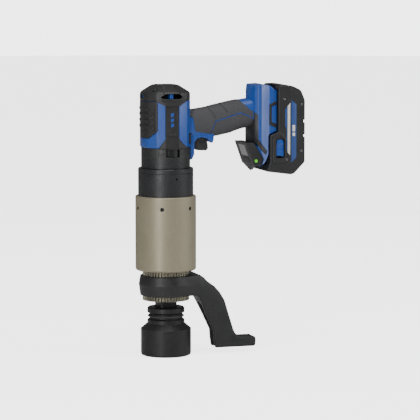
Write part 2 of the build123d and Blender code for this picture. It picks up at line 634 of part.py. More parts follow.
FOOT_OUTLINE = [
    (105, 6), (105, 92), (124, 88), (150, 88), (159, 80), (159, 21), (146.3, 16), (146.3, -12),
    (142, -24), (136, -30), (105, -30)]
FOOT_PLAN = [(123.5, 6), (125, 13), (128.5, 20), (133, 26), (147, FOOT_HALF_WIDTH), (162, FOOT_HALF_WIDTH)]
FOOT_CAVITY = [
    (120, 8), (120, 75), (129, 84.5), (149, 84.5), (155.5, 78), (155.5, 23.5), (143, 18), (143, -6),
    (133, 8)]
DISPLAY_OUTLINE = [(113.2, 4.5), (124.6, 4.5), (139.6, -19), (135, -28.5), (124.8, -28.5)]
DISPLAY_ROOM = [(100, 4.5), (124.6, 4.5), (139.6, -19), (135, -28.5), (135, -45), (100, -45)]
GUARD_OUTLINE = [
    (14, 14), (32.8, 14), (32.8, -19.7), (36.5, -17.5), (39.6, -11), (39.6, 6), (43, 11.4), (50, 13.4),
    (58, 12), (67, 3.8), (71, 9.5), (74, 14.2), (62, 30), (30, 42), (14, 42)]
ACCENT_LINE = [(38.4, 22.0), (62.7, 17.4), (70.5, 36.5), (107.8, 48.0), (126, 40.0)]
GRIP_REGION = [
    (28.5, 60), (28.5, 46.6), (36.7, 42), (39.7, 22.8), (62, 17.5), (69, 17.5), (72, 8), (100, 8),
    (113, 20), (113, 46), (119, 52), (112, 74), (60, 74)]
BUMPER_REGION = [(110, 46), (128.5, 44), (131, 40), (131, 10), (144, -9), (142, -14), (131, 1), (110, 6)]
TRIGGER_SLOT = ((40.2, 62.6), (-8.2, 8.2), (-8, 22))
CASE_SCREW_SPOTS = [(36, 28), (80, 38), (110, 46), (137, 70), (141, 2)]
SCREW_SEAT_Y = 8.0
TERMINAL_RANGE = (42, 76)
BOSS_RADIUS = 4.2


def accent_strip(width):
    """Prism along the accent line, through the whole width of the handle."""
    strips = []
    for (x0, z0), (x1, z1) in zip(ACCENT_LINE, ACCENT_LINE[1:]):
        length = math.hypot(x1 - x0, z1 - z0)
        across = (-(z1 - z0) / length * width / 2, (x1 - x0) / length * width / 2)
        corners = [(x0 - across[0], z0 - across[1]), (x1 - across[0], z1 - across[1]),
                   (x1 + across[0], z1 + across[1]), (x0 + across[0], z0 + across[1])]
        strips.append(side_prism(corners, -30, 30))
    return strips


def head_inserts():
    """Badge panels, rear cap, and the ribbed back pad, as the parts of the head that they fill."""
    outer = head_solid(0, HEAD_LOW, HEAD_TOP)
    badge = side_prism([(-BADGE_HALF_WIDTH, BADGE_LOW), (BADGE_HALF_WIDTH, BADGE_LOW),
                        (BADGE_HALF_WIDTH, CAP_TAB), (-BADGE_HALF_WIDTH, CAP_TAB)], -40, -36 + BADGE_DEPTH)
    badges = both_sides(outer & badge)
    keep("badge_panels", *badges)
    pad_region = side_prism([(-60, 13), (-31, 13), (-23, 25), (-23, CAP_EDGE), (-60, CAP_EDGE)], -60, 60)
    pad = (outer & pad_region) - head_solid(HEAD_WALL, HEAD_LOW, HEAD_TOP)
    keep("back_pad", pad)
    return badges, pad


def case_screw():
    """Housing screw standing on its seat at the origin, with its head up and a hexagon in it."""
    head = Cylinder(CASE_SCREW_HEAD_RADIUS, CASE_SCREW_HEAD_HEIGHT, align=BASE)
    shank = Pos(0, 0, -CASE_SCREW_LENGTH) * Cylinder(CASE_SCREW_RADIUS, CASE_SCREW_LENGTH, align=BASE)
    hexagon = Pos(0, 0, CASE_SCREW_HEAD_HEIGHT / 2) * extrude(RegularPolygon(CASE_SCREW_RADIUS, 6), amount=2)
    return head + shank - hexagon


def screw_hole(depth):
    """Room for a case screw, with a recess of the given depth above its seat."""
    recess = Cylinder(CASE_SCREW_HEAD_RADIUS + GAP, depth, align=BASE)
    shank = Pos(0, 0, -CASE_SCREW_LENGTH) * Cylinder(CASE_SCREW_RADIUS, CASE_SCREW_LENGTH, align=BASE)
    return recess + shank


def cap_screw_places():
    """Seats of the four cap screws, in the corners of the head outside the motor's bore."""
    span = CAP_SCREW_SPAN
    level = HEAD_LOW + CAP_SCREW_SEAT
    return [Pos(x, y, level) for x in (-span, span) for y in (-span, span)]


def case_screw_places():
    """Seats of the screws that join the housing halves, heads to the far side."""
    return [Pos(x, SCREW_SEAT_Y, HEAD_LOW + rise) * Rot(-90, 0, 0) for x, rise in CASE_SCREW_SPOTS]


def rear_cap():
    """Vented end cap with its shield-shaped edge, bearing seat and four screws."""
    bevel_low = HEAD_TOP - CAP_BEVEL
    ceiling = bevel_low - 1
    crown = loft([
        Pos(0, 0, bevel_low) * make_face(Polyline(*head_section(0), close=True)),
        Pos(0, 0, HEAD_TOP) * make_face(Polyline(*head_section(CAP_INSET), close=True))], ruled=True)
    outer = head_solid(0, CAP_LOW, bevel_low) + crown
    tab = side_prism([(-22, CAP_EDGE), (-BADGE_HALF_WIDTH, CAP_TAB), (BADGE_HALF_WIDTH, CAP_TAB),
                      (22, CAP_EDGE)], -40, 40)
    tabs = (head_solid(0, HEAD_LOW, CAP_LOW) & tab) - head_solid(HEAD_WALL, HEAD_LOW, CAP_LOW)
    hollow = head_solid(HEAD_WALL, CAP_LOW, ceiling)
    slot = side_prism([(-16, 72.5), (-12, 71), (12, 71), (16, 72.5), (11, 78.5), (-11, 78.5)], -60, 60)
    small_slot = block((-60, -20), (-9, 9), (HEAD_LOW + 72, HEAD_LOW + 76))
    seat_radius = BEARING_RADIUS + HEAD_WALL
    seat = tube(seat_radius, BEARING_RADIUS, CAP_LOW, ceiling)
    reach = SPIGOT_RADIUS + HEAD_WALL
    web = block((-reach, reach), (-2, 2), (CAP_LOW, ceiling))
    web = web + block((-2, 2), (-reach, reach), (CAP_LOW, ceiling))
    web = (web & head_solid(HEAD_WALL, CAP_LOW, ceiling)) - disc(seat_radius, CAP_LOW, ceiling)
    post = Cylinder(CASE_SCREW_HEAD_RADIUS + CASE_SCREW_RADIUS, ceiling - CAP_LOW,
                    align=(Align.CENTER, Align.CENTER, Align.MAX))
    posts = [place * Pos(0, 0, ceiling - HEAD_LOW - CAP_SCREW_SEAT) * post for place in cap_screw_places()]
    cap = joined([cut_all(outer, [hollow, slot, small_slot]), seat, web, tabs] + posts)
    holes = [place * screw_hole(HEAD_LENGTH - CAP_SCREW_SEAT) for place in cap_screw_places()]
    keep("rear_cap", cut_all(cap, holes))
    keep("case_screws", *[place * case_screw() for place in cap_screw_places() + case_screw_places()])
    return tabs


def shell_halves(badges, pad, cap_tabs, tongues):
    """Two blue housing halves with head, guard, handle and foot, split at Y = 0, and what covers them."""
    head = head_solid(0, HEAD_LOW, CAP_LOW)
    guard = rounded_prism(GUARD_OUTLINE, GUARD_HALF_WIDTH, 1.5) - disc(NOSE_RADIUS + GAP, NOSE_LOW, HEAD_LOW)
    foot = foot_solid(0)
    handle = handle_solid(0)
    grip_skin = (handle - handle_solid(GRIP_SKIN)) & side_prism(GRIP_REGION, -30, 30)
    grip_skin = cut_all(grip_skin, accent_strip(1.6) + [head, foot, guard])
    display_room = side_prism(DISPLAY_ROOM, -2 * FOOT_HALF_WIDTH, 2 * FOOT_HALF_WIDTH)
    bumper = foot & side_prism(BUMPER_REGION, -60, 60)
    bumper = cut_all(bumper, [foot_solid(BUMPER_THICKNESS), handle, display_room])
    slot = block(*TRIGGER_SLOT[:2], (HEAD_LOW + TRIGGER_SLOT[2][0], HEAD_LOW + TRIGGER_SLOT[2][1]))
    bore = disc(MOTOR_RADIUS + GAP, HEAD_LOW + SPIGOT_HEIGHT, CAP_LOW)
    spigot = disc(SPIGOT_RADIUS, HEAD_LOW, HEAD_LOW + SPIGOT_HEIGHT)
    cavity = handle_solid(GRIP_SKIN + GRIP_WALL)
    shuttle = block((29, 34), (-40, 40), (HEAD_LOW + 4.6, HEAD_LOW + 19.7))
    envelope = joined([head, guard, handle, foot])
    boss = Cylinder(BOSS_RADIUS, 4 * FOOT_HALF_WIDTH)
    bosses = [envelope & (place * boss) for place in case_screw_places()]
    whole = cut_all(envelope, [bore, spigot, cavity, foot_cavity()])
    whole = joined([whole] + bosses + [battery_rails()])
    holes = [place * screw_hole(2 * FOOT_HALF_WIDTH) for place in case_screw_places() + cap_screw_places()]
    whole = cut_all(whole, [slot, shuttle, grip_skin, bumper, pad, cap_tabs, tongues])
    whole = cut_all(whole, [display_room, terminal_seat()] + badges + holes)
    return whole, cut_all(grip_skin, holes), cut_all(bumper, holes)


def foot_solid(inset):
    """Foot between handle and battery, narrow and round at its front, with its plan pulled in."""
    half_plan = [(x + inset, y - inset) for x, y in FOOT_PLAN]
    plan = half_plan + [(x, -y) for x, y in reversed(half_plan)]
    foot = rounded_prism(FOOT_OUTLINE, FOOT_HALF_WIDTH, FOOT_EDGE)
    return foot & plan_prism(plan, 0, 2 * HEAD_TOP)


def foot_cavity():
    """Room inside the foot for the control board and the terminals."""
    room = side_prism(FOOT_CAVITY, -FOOT_HALF_WIDTH, FOOT_HALF_WIDTH)
    return room & foot_solid(FOOT_WALL + BUMPER_THICKNESS)


def battery_rails():
    """Pair of L-section rails on the foot that the battery slides onto."""
    low, high = HEAD_LOW + 24, HEAD_LOW + 80
    neck = block((158.9, 162.4), (-RAIL_NECK_HALF_WIDTH, -RAIL_INNER), (low, high))
    head = block((162.4, 165.8), (-RAIL_HEAD_HALF_WIDTH, -RAIL_INNER), (low, high))
    return joined(both_sides(neck + head))


def terminal_seat():
    """Room for the terminal block in the foot's battery face."""
    low, high = TERMINAL_RANGE
    return block((150, 159.1), (-13, 13), (HEAD_LOW + low, HEAD_LOW + high))


def split(shape):
    """The near and far parts of a shape."""
    near = shape & block((-300, 300), (-100, 0), (0, 500))
    far = shape & block((-300, 300), (0, 100), (0, 500))
    return near, far


def controls():
    """Trigger, its switch and spring, and the direction shuttle."""
    outline = [(41, 21), (41, 2), (42.6, -3.5), (47, -6), (59, -6.3), (62, -4), (62, 21)]
    body = rounded_prism(outline, TRIGGER_HALF_WIDTH, 1.6)
    scoop = Pos(36.5, 0, HEAD_LOW - 6) * Rot(90, 0, 0) * Cylinder(8, 30)
    keep("trigger", body - scoop)
    switch_low = HEAD_LOW + 21 + TRIGGER_TRAVEL + OPEN_GAP
    spring_top = switch_low
    spring = Pos(51.5, 0, HEAD_LOW + 21) * (Cylinder(3.2, spring_top - HEAD_LOW - 21, align=BASE)
                                           - Cylinder(2.2, spring_top - HEAD_LOW - 21, align=BASE))
    keep("trigger_spring", spring)
    keep("switch_module", block((41, 64), (-9, 9), (switch_low, switch_low + 18)))
    shuttle_y = 15.5
    bar = block((29.3, 33.7), (-shuttle_y, shuttle_y), (HEAD_LOW + 5, HEAD_LOW + 19.3))
    keep("direction_shuttle", bar)


def display_plane():
    """Plane of the display's sloping face, X across the tool and Y down the face."""
    high = (DISPLAY_OUTLINE[0][0], HEAD_LOW + DISPLAY_OUTLINE[0][1])
    low = (DISPLAY_OUTLINE[-1][0], HEAD_LOW + DISPLAY_OUTLINE[-1][1])
    run = (low[0] - high[0], low[1] - high[1])
    length = math.hypot(*run)
    outward = (run[1] / length, 0, -run[0] / length)
    centre = ((high[0] + low[0]) / 2, 0, (high[1] + low[1]) / 2)
    return Plane(origin=centre, x_dir=(0, 1, 0), z_dir=outward)


def display():
    """Display module under the foot: pointed case, window, key, and the status lamp in its near side."""
    case = rounded_prism(DISPLAY_OUTLINE, DISPLAY_HALF_WIDTH, DISPLAY_EDGE)
    face = display_plane()
    lower_edge = math.dist(DISPLAY_OUTLINE[0], DISPLAY_OUTLINE[-1]) / 2
    tip = [(-DISPLAY_HALF_WIDTH + 3, lower_edge - 1), (DISPLAY_HALF_WIDTH - 3, lower_edge - 1),
           (0, lower_edge + DISPLAY_TIP)]
    case = case + extrude(face * make_face(Polyline(*tip, close=True)), amount=-DISPLAY_TIP / 2)
    window_size = (30, 17)
    window = face * Pos(0, -5, 0) * Box(*window_size, 1.6, align=(Align.CENTER, Align.CENTER, Align.MAX))
    window_seat = face * Pos(0, -5, 0) * Box(*window_size, 3.2)
    key_spot = face * Pos(0, 10.5, 0)
    key = key_spot * Pos(0, 0, -KEY_TRAVEL) * Box(
        2 * KEY_HALF_LENGTH, 2 * KEY_HALF_WIDTH, KEY_HEIGHT - KEY_TRAVEL, align=BASE)
    seat_depth = 2 * KEY_TRAVEL + GAP
    key_seat = key_spot * Box(2 * (KEY_HALF_LENGTH + GAP), 2 * (KEY_HALF_WIDTH + GAP), 2 * seat_depth)
    lamp = Pos(128, -DISPLAY_HALF_WIDTH, HEAD_LOW - 21.6) * Rot(90, 0, 0) * Cylinder(LED_RADIUS, 1.2)
    keep("display_case", cut_all(case, [window_seat, key_seat, lamp]))
    keep("display_window", window)
    keep("display_key", key)
    keep("status_lamp", lamp)


def foot_inside():
    """Control board and the terminal block with its four blades."""
    board = block((134, 136), (-FOOT_HALF_WIDTH, FOOT_HALF_WIDTH), (HEAD_LOW + 12, HEAD_LOW + 37))
    keep("control_board", board & foot_cavity())
    low, high = HEAD_LOW + TERMINAL_RANGE[0], HEAD_LOW + TERMINAL_RANGE[1]
    body = block((150, 159), (-13, 13), (low, high))
    blades = [block((159, 165), (y - 0.5, y + 0.5), (low + 2, high - 2)) for y in (-9, -3, 3, 9)]
    keep("terminal_block", joined([body] + blades))


# ---------------------------------------------------------------- battery
BATTERY_OUTLINE = [
    (BATTERY_FACE, 85.5), (BATTERY_FACE, 20.2), (146.8, 15), (146.8, -24), (141.5, -37), (179, -42), (182.5, -41),
    (BATTERY_BACK - 1, -25.5), (BATTERY_BACK, -22), (BATTERY_BACK, 68), (197.5, 76.5), (191, 83), (182, 87),
    (172, 87.7), (163.5, 87.7)]
COVER_INSIDE = [(BATTERY_PARTING, -37), (182, -37), (196, -21), (197.6, -17), (197.6, 67), (195, 75),
                (189, 80.5), (BATTERY_PARTING, 84.5)]


def latch_pocket(spare):
    """Space for a latch button in the near side wall."""
    return block((156 - spare, 168 + spare), (-BATTERY_HALF_WIDTH - 1, -BATTERY_HALF_WIDTH + 9),
                 (HEAD_LOW - 17 - spare, HEAD_LOW + 9.5 + spare))


def battery():
    """Slide-on battery: two shells, cells, board, screws, labels and a latch button on each side."""
    half = BATTERY_HALF_WIDTH
    wall = BATTERY_WALL
    whole = rounded_prism(BATTERY_OUTLINE, half, BATTERY_EDGE)
    base = whole & block((100, BATTERY_PARTING), (-half, half), (0, 2 * HEAD_TOP))
    cover = whole & block((BATTERY_PARTING, 300), (-half, half), (0, 2 * HEAD_TOP))
    inside = side_prism([(166.9, -34), (BATTERY_PARTING, -34), (BATTERY_PARTING, 84), (169.5, 84)],
                        -half + wall, half - wall)
    front_inside = side_prism([(149.5, -27), (167, -32), (167, 15), (149.5, 11)], -half + 10, half - 10)
    rail_top = HEAD_LOW + 90
    neck_half = RAIL_NECK_HALF_WIDTH + GAP
    head_half = RAIL_HEAD_HALF_WIDTH + GAP
    neck = block((159, 162.1), (-neck_half, neck_half), (HEAD_LOW + 23.6, rail_top))
    head = block((162.1, 166.2), (-head_half, head_half), (HEAD_LOW + 23.6, rail_top))
    pockets = both_sides(latch_pocket(GAP))
    screw_spots = [(168.8, 67.8), (172.4, -19.7), (195.2, 59.5), (194.7, -7.5)]
    screws = []
    holes = []
    for x, rise in screw_spots:
        spot = Pos(x, -half + wall, HEAD_LOW + rise) * Rot(90, 0, 0)
        screw = spot * (Cylinder(2.0, 1.6, align=BASE) - Pos(0, 0, 1) * extrude(RegularPolygon(1.1, 6), amount=1))
        screws += both_sides(screw)
        holes += both_sides(spot * Cylinder(2.0, 3.0, align=BASE))
    base = cut_all(base, [inside, front_inside, neck, head] + pockets + holes[:4])
    cover_inside = side_prism(COVER_INSIDE, -half + wall, half - wall)
    cover = cut_all(cover, [cover_inside] + holes[4:])
    keep("battery_base", base)
    keep("battery_cover", cover)
    keep("battery_screws", *screws)
    cell = Rot(90, 0, 0) * Cylinder(CELL_RADIUS, CELL_LENGTH)
    row_middle = BATTERY_PARTING + 4
    keep("battery_cells", *[Pos(row_middle, 0, HEAD_LOW - 16 + index * CELL_PITCH) * cell
                            for index in range(CELL_COUNT)])
    for side, button in zip(("near", "far"), both_sides(latch_button())):
        keep(f"latch_{side}", button)


def latch_button():
    """Near-side latch button, dished for a finger."""
    half = BATTERY_HALF_WIDTH
    button = block((156, 168), (-half + 0.4, -half + 4.4), (HEAD_LOW - 17, HEAD_LOW + 9.5))
    dish = Pos(162, -half - 14, HEAD_LOW - 2) * Rot(0, 90, 0) * Cylinder(15.6, 30)
    return button - dish


def write_nodes():
    """Write every node to its own STEP file."""
    os.makedirs("parts", exist_ok=True)
    for name, solids in NODES.items():
        shape = solids[0] if len(solids) == 1 else Compound(children=solids)
        export_step(shape, f"parts/{name}.step")


def build():
    """Make every node in order and write it."""
    impact_socket()
    drive_shaft()
    reaction_hub()
    reaction_arm()
    gear_housing()
    coupling_collar()
    nose_sleeve()
    main_gear_train()
    tongues = gear_case()
    speed_stage()
    selector()
    motor()
    badges, pad = head_inserts()
    cap_tabs = rear_cap()
    shells, grip_skin, bumper = shell_halves(badges, pad, cap_tabs, tongues)
    controls()
    display()
    keep("foot_bumpers", *split(bumper))
    for name, shape in (("housing", shells), ("grip", grip_skin)):
        near, far = split(shape)
        keep(f"{name}_near", near)
        keep(f"{name}_far", far)
    foot_inside()
    battery()
    write_nodes()


build()
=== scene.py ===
"""Battery torque wrench: finished outer pieces, finishes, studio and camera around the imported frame.

Lengths in the classes are millimetres, and a piece becomes metres as it is finished.  +X points along
the handle to the battery, +Z up the output axis, and -Y is the near side.  A rise is a height above the power head's
lower edge, the level that all outlines of the head, handle, foot and battery are measured from.
"""
import logging
import math
from dataclasses import dataclass, field
from enum import Enum

import bpy
from mathutils import Matrix, Vector


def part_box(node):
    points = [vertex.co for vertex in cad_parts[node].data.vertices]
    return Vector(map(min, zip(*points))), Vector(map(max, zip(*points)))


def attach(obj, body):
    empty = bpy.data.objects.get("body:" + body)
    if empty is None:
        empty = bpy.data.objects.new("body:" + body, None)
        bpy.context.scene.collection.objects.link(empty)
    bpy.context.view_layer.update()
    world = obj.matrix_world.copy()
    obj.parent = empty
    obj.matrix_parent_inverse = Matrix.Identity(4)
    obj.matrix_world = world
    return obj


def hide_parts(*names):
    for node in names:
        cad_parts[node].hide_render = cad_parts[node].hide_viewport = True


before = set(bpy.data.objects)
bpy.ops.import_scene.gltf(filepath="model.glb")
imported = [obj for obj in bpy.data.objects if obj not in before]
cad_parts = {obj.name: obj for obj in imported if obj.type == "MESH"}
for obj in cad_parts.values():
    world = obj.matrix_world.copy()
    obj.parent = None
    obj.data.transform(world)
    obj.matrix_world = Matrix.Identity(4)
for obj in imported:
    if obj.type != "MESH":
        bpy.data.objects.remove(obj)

LOG = logging.getLogger("torque_wrench")
MM = 0.001
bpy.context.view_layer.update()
HEAD_LENGTH = 90.0
HEAD_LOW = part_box("rear_cap")[1].z / MM - HEAD_LENGTH

Outline = list[tuple[float, ...]]
Piece = bpy.types.Object


# ------------------------------------------------------------------ finishes
@dataclass(frozen=True)
class Finish:
    """A surface finish: its colour, gloss, a painted highlight along its edges and fine grain, as one node material.
    """

    name: str
    colour: tuple[float, float, float]
    # Painted highlight colour, laid lighter along every edge.
    edge_highlight_colour: tuple[float, float, float]
    roughness: float
    metallic: float = 0.0
    mottle_scale: float = 55.0
    mottle_share: float = 0.12
    gloss_spread: float = 0.06
    grain_scale: float = 1500.0
    grain_depth: float = 0.03
    edge_radius: float = 0.5
    # How much of the painted edge highlight shows where an edge turns most.
    edge_highlight_share: float = 0.45
    coat: float = 0.0
    specular: float = 0.5
    anisotropy: float = 0.0

    def material(self) -> bpy.types.Material:
        """Return the finish's material, made once.

        Returns:
            The material, shared by every piece in this finish.
        """
        known = bpy.data.materials.get(self.name)
        if known:
            return known
        material = bpy.data.materials.new(self.name)
        material.use_nodes = True
        tree = material.node_tree
        shader = tree.nodes["Principled BSDF"]
        shader.inputs["Metallic"].default_value = self.metallic
        shader.inputs["Coat Weight"].default_value = self.coat
        shader.inputs["Coat Roughness"].default_value = 0.2
        shader.inputs["Specular IOR Level"].default_value = self.specular
        shader.inputs["Anisotropic"].default_value = self.anisotropy
        place = tree.nodes.new("ShaderNodeTexCoord").outputs["Object"]
        mottle = noise(tree, place, self.mottle_scale, 4.0)
        rounded = tree.nodes.new("ShaderNodeBevel")
        rounded.samples = 6
        rounded.inputs["Radius"].default_value = self.edge_radius * MM
        tree.links.new(self.tinted(tree, mottle, rounded), shader.inputs["Base Color"])
        gloss = spread(tree, mottle, self.roughness - self.gloss_spread, self.roughness + self.gloss_spread)
        tree.links.new(gloss, shader.inputs["Roughness"])
        bump = tree.nodes.new("ShaderNodeBump")
        bump.inputs["Strength"].default_value = 0.6
        bump.inputs["Distance"].default_value = self.grain_depth * MM
        tree.links.new(self.grain(tree, place), bump.inputs["Height"])
        tree.links.new(rounded.outputs["Normal"], bump.inputs["Normal"])
        tree.links.new(bump.outputs["Normal"], shader.inputs["Normal"])
        self.glow(shader)
        return material

    def tinted(self, tree: bpy.types.NodeTree, mottle: bpy.types.NodeSocket,
               rounded: bpy.types.Node) -> bpy.types.NodeSocket:
        """Colour with cloudy variation, lighter along each edge with a painted highlight.

        Args:
            tree: The material's nodes.
            mottle: Slow noise over the piece.
            rounded: Bevel node whose normal turns over an edge.

        Returns:
            The colour socket.
        """
        body = mixed(
            tree, mottle, shade(self.colour, 1 - self.mottle_share),
            shade(self.colour, 1 + self.mottle_share))
        true_normal = tree.nodes.new("ShaderNodeNewGeometry").outputs["Normal"]
        turn = tree.nodes.new("ShaderNodeVectorMath")
        turn.operation = "DOT_PRODUCT"
        tree.links.new(rounded.outputs["Normal"], turn.inputs[0])
        tree.links.new(true_normal, turn.inputs[1])
        # Painted highlight: lighter colour where the bevel normal turns from the true normal, along every edge, made
        # patchy by the mottle.
        edge = spread(tree, turn.outputs["Value"], self.edge_highlight_share, 0.0, 0.86, 0.99)
        patchy_edge_highlight = tree.nodes.new("ShaderNodeMath")
        patchy_edge_highlight.operation = "MULTIPLY"
        tree.links.new(edge, patchy_edge_highlight.inputs[0])
        tree.links.new(mottle, patchy_edge_highlight.inputs[1])
        return mixed(tree, patchy_edge_highlight.outputs[0], body, shade(self.edge_highlight_colour, 1.0))

    def grain(self, tree: bpy.types.NodeTree, place: bpy.types.NodeSocket) -> bpy.types.NodeSocket:
        """Height of the finest relief: even noise, unless a finish has its own.

        Args:
            tree: The material's nodes.
            place: Object coordinates.

        Returns:
            The height socket.
        """
        return noise(tree, place, self.grain_scale, 3.0)

    def glow(self, shader: bpy.types.Node) -> None:
        """Leave the surface unlit from within."""

    def dress(self, piece: Piece) -> None:
        """Give a piece this finish all over."""
        if piece.data.materials:
            for holder in piece.material_slots:
                holder.material = self.material()
        else:
            piece.data.materials.append(self.material())


@dataclass(frozen=True)
class SoftRubber(Finish):
    """Overmoulded elastomer with a fine cell-like texture."""

    def grain(self, tree: bpy.types.NodeTree, place: bpy.types.NodeSocket) -> bpy.types.NodeSocket:
        """Height of small domed cells.

        Args:
            tree: The material's nodes.
            place: Object coordinates.

        Returns:
            The height socket.
        """
        cells = tree.nodes.new("ShaderNodeTexVoronoi")
        cells.inputs["Scale"].default_value = self.grain_scale
        tree.links.new(place, cells.inputs["Vector"])
        return cells.outputs["Distance"]


@dataclass(frozen=True)
class TurnedMetal(Finish):
    """Metal turned on a lathe, with fine rings round the output axis."""

    def grain(self, tree: bpy.types.NodeTree, place: bpy.types.NodeSocket) -> bpy.types.NodeSocket:
        """Height of the tool marks, as bands up the axis broken by a little noise.

        Args:
            tree: The material's nodes.
            place: Object coordinates.

        Returns:
            The height socket.
        """
        marks = tree.nodes.new("ShaderNodeTexWave")
        marks.wave_type = "BANDS"
        marks.bands_direction = "Z"
        marks.inputs["Scale"].default_value = self.grain_scale
        marks.inputs["Distortion"].default_value = 1.5
        tree.links.new(place, marks.inputs["Vector"])
        return marks.outputs["Fac"]


@dataclass(frozen=True)
class LitLens(Finish):
    """Lamp lens that shines in its own colour."""

    def glow(self, shader: bpy.types.Node) -> None:
        """Light the lens."""
        shader.inputs["Emission Color"].default_value = (*self.colour, 1.0)
        shader.inputs["Emission Strength"].default_value = 1.2


@dataclass(frozen=True)
class WhiteFloor(Finish):
    """Studio floor that looks white without lighting the tool from below.

    Attributes:
        whiteness: How much brighter than its lit surface it looks.
    """

    whiteness: float = 3.0

    def glow(self, shader: bpy.types.Node) -> None:
        """Brighten the floor as it is seen, but not the light that it gives."""
        tree = shader.id_data
        seen = tree.nodes.new("ShaderNodeLightPath")
        scaled = tree.nodes.new("ShaderNodeMath")
        scaled.operation = "MULTIPLY"
        scaled.inputs[1].default_value = self.whiteness
        tree.links.new(seen.outputs["Is Camera Ray"], scaled.inputs[0])
        shader.inputs["Emission Color"].default_value = (1.0, 1.0, 1.0, 1.0)
        tree.links.new(scaled.outputs["Value"], shader.inputs["Emission Strength"])


def noise(tree: bpy.types.NodeTree, place: bpy.types.NodeSocket, scale: float,
          detail: float) -> bpy.types.NodeSocket:
    """Noise at a scale in turns per metre.

    Args:
        tree: The material's nodes.
        place: Coordinates that the noise is read at.
        scale: Features per metre.
        detail: Octaves of finer noise.

    Returns:
        The noise value's socket.
    """
    node = tree.nodes.new("ShaderNodeTexNoise")
    node.inputs["Scale"].default_value = scale
    node.inputs["Detail"].default_value = detail
    tree.links.new(place, node.inputs["Vector"])
    return node.outputs["Fac"]


def spread(tree: bpy.types.NodeTree, value: bpy.types.NodeSocket, low: float, high: float,
           start: float = 0.3, end: float = 0.7) -> bpy.types.NodeSocket:
    """Map a value between two ends onto a new range.

    Args:
        tree: The material's nodes.
        value: Socket to map.
        low: Result at the start.
        high: Result at the end.
        start: Value that gives the low result.
        end: Value that gives the high result.

    Returns:
        The mapped value's socket.
    """
    node = tree.nodes.new("ShaderNodeMapRange")
    for name, number in (("From Min", start), ("From Max", end), ("To Min", low), ("To Max", high)):
        node.inputs[name].default_value = number
    tree.links.new(value, node.inputs["Value"])
    return node.outputs["Result"]


def mixed(tree: bpy.types.NodeTree, share: bpy.types.NodeSocket, first: object,
          second: object) -> bpy.types.NodeSocket:
    """Mix two colours, each a socket or a fixed colour.

    Args:
        tree: The material's nodes.
        share: How much of the second colour shows.
        first: Colour at a share of nought.
        second: Colour at a share of one.

    Returns:
        The mixed colour's socket.
    """
    node = tree.nodes.new("ShaderNodeMix")
    node.data_type = "RGBA"
    tree.links.new(share, node.inputs[0])
    for index, colour in ((6, first), (7, second)):
        if isinstance(colour, tuple):
            node.inputs[index].default_value = colour
        else:
            tree.links.new(colour, node.inputs[index])
    return node.outputs[2]


def shade(colour: tuple[float, float, float], factor: float) -> tuple[float, float, float, float]:
    """Return a colour made lighter or darker, with full alpha."""
    return (colour[0] * factor, colour[1] * factor, colour[2] * factor, 1.0)


# Each finish's second colour is its painted edge highlight, laid lighter along every edge.
BLUE = Finish(
    "blue_shell", (0.004, 0.052, 0.27), (0.03, 0.18, 0.60), 0.42, grain_scale=2400, grain_depth=0.02,
              mottle_share=0.07, coat=0.12)
BLACK = Finish("black_shell", (0.010, 0.010, 0.011), (0.045, 0.045, 0.047), 0.5, grain_scale=2000,
               grain_depth=0.045, mottle_share=0.15)
RUBBER = SoftRubber("soft_grip", (0.009, 0.009, 0.0095), (0.035, 0.035, 0.036), 0.58, grain_scale=1100,
                    grain_depth=0.08, mottle_share=0.15, specular=0.4)
CHAMPAGNE = Finish("champagne_anodising", (0.26, 0.232, 0.160), (0.85, 0.80, 0.64), 0.44, metallic=0.45,
                   mottle_scale=30, mottle_share=0.05, grain_scale=1700, grain_depth=0.035, edge_highlight_share=0.9)
BLACK_ANODISED = TurnedMetal("black_anodising", (0.020, 0.0205, 0.022), (0.10, 0.10, 0.105), 0.42,
                             metallic=0.35, mottle_share=0.1, grain_scale=900, grain_depth=0.01)
BLACK_STEEL = TurnedMetal(
    "phosphated_steel", (0.020, 0.020, 0.021), (0.11, 0.11, 0.11), 0.45, metallic=0.55,
                          mottle_share=0.2, grain_scale=500, grain_depth=0.015, gloss_spread=0.1)
CAST_STEEL = Finish("coated_casting", (0.022, 0.022, 0.023), (0.09, 0.09, 0.09), 0.5, metallic=0.4,
                    mottle_share=0.2, grain_scale=700, grain_depth=0.12, gloss_spread=0.1)
BRIGHT_STEEL = TurnedMetal("machined_steel", (0.19, 0.178, 0.135), (0.62, 0.60, 0.54), 0.36, metallic=0.95,
                           grain_scale=700, grain_depth=0.01, anisotropy=0.3)
GEAR_STEEL = Finish("ground_gear_steel", (0.40, 0.40, 0.41), (0.7, 0.7, 0.7), 0.3, metallic=1.0)
BRONZE = Finish("sintered_bronze", (0.45, 0.28, 0.10), (0.7, 0.5, 0.25), 0.45, metallic=0.9)
SEAL = SoftRubber("seal_rubber", (0.012, 0.012, 0.012), (0.03, 0.03, 0.03), 0.65)
SCREW = Finish("zinc_screw", (0.24, 0.24, 0.25), (0.6, 0.6, 0.6), 0.3, metallic=0.95, edge_radius=0.2)
DARK_SCREW = Finish(
    "black_screw", (0.02, 0.02, 0.021), (0.15, 0.15, 0.15), 0.35, metallic=0.7, edge_radius=0.2)
IRON = Finish("laminated_iron", (0.16, 0.12, 0.09), (0.4, 0.35, 0.3), 0.5, metallic=0.7)
BOARD = Finish("circuit_board", (0.02, 0.14, 0.05), (0.1, 0.3, 0.1), 0.4)
GLASS = Finish(
    "smoked_window", (0.012, 0.015, 0.018), (0.05, 0.06, 0.07), 0.12, grain_depth=0.004, coat=0.8)
LAMP = LitLens("green_lens", (0.06, 0.38, 0.004), (0.15, 0.62, 0.02), 0.2, grain_depth=0.005)
COPPER = Finish("plated_contact", (0.60, 0.40, 0.18), (0.8, 0.6, 0.3), 0.3, metallic=1.0)
CELL_WRAP = Finish("cell_wrap", (0.06, 0.26, 0.12), (0.1, 0.4, 0.2), 0.3)
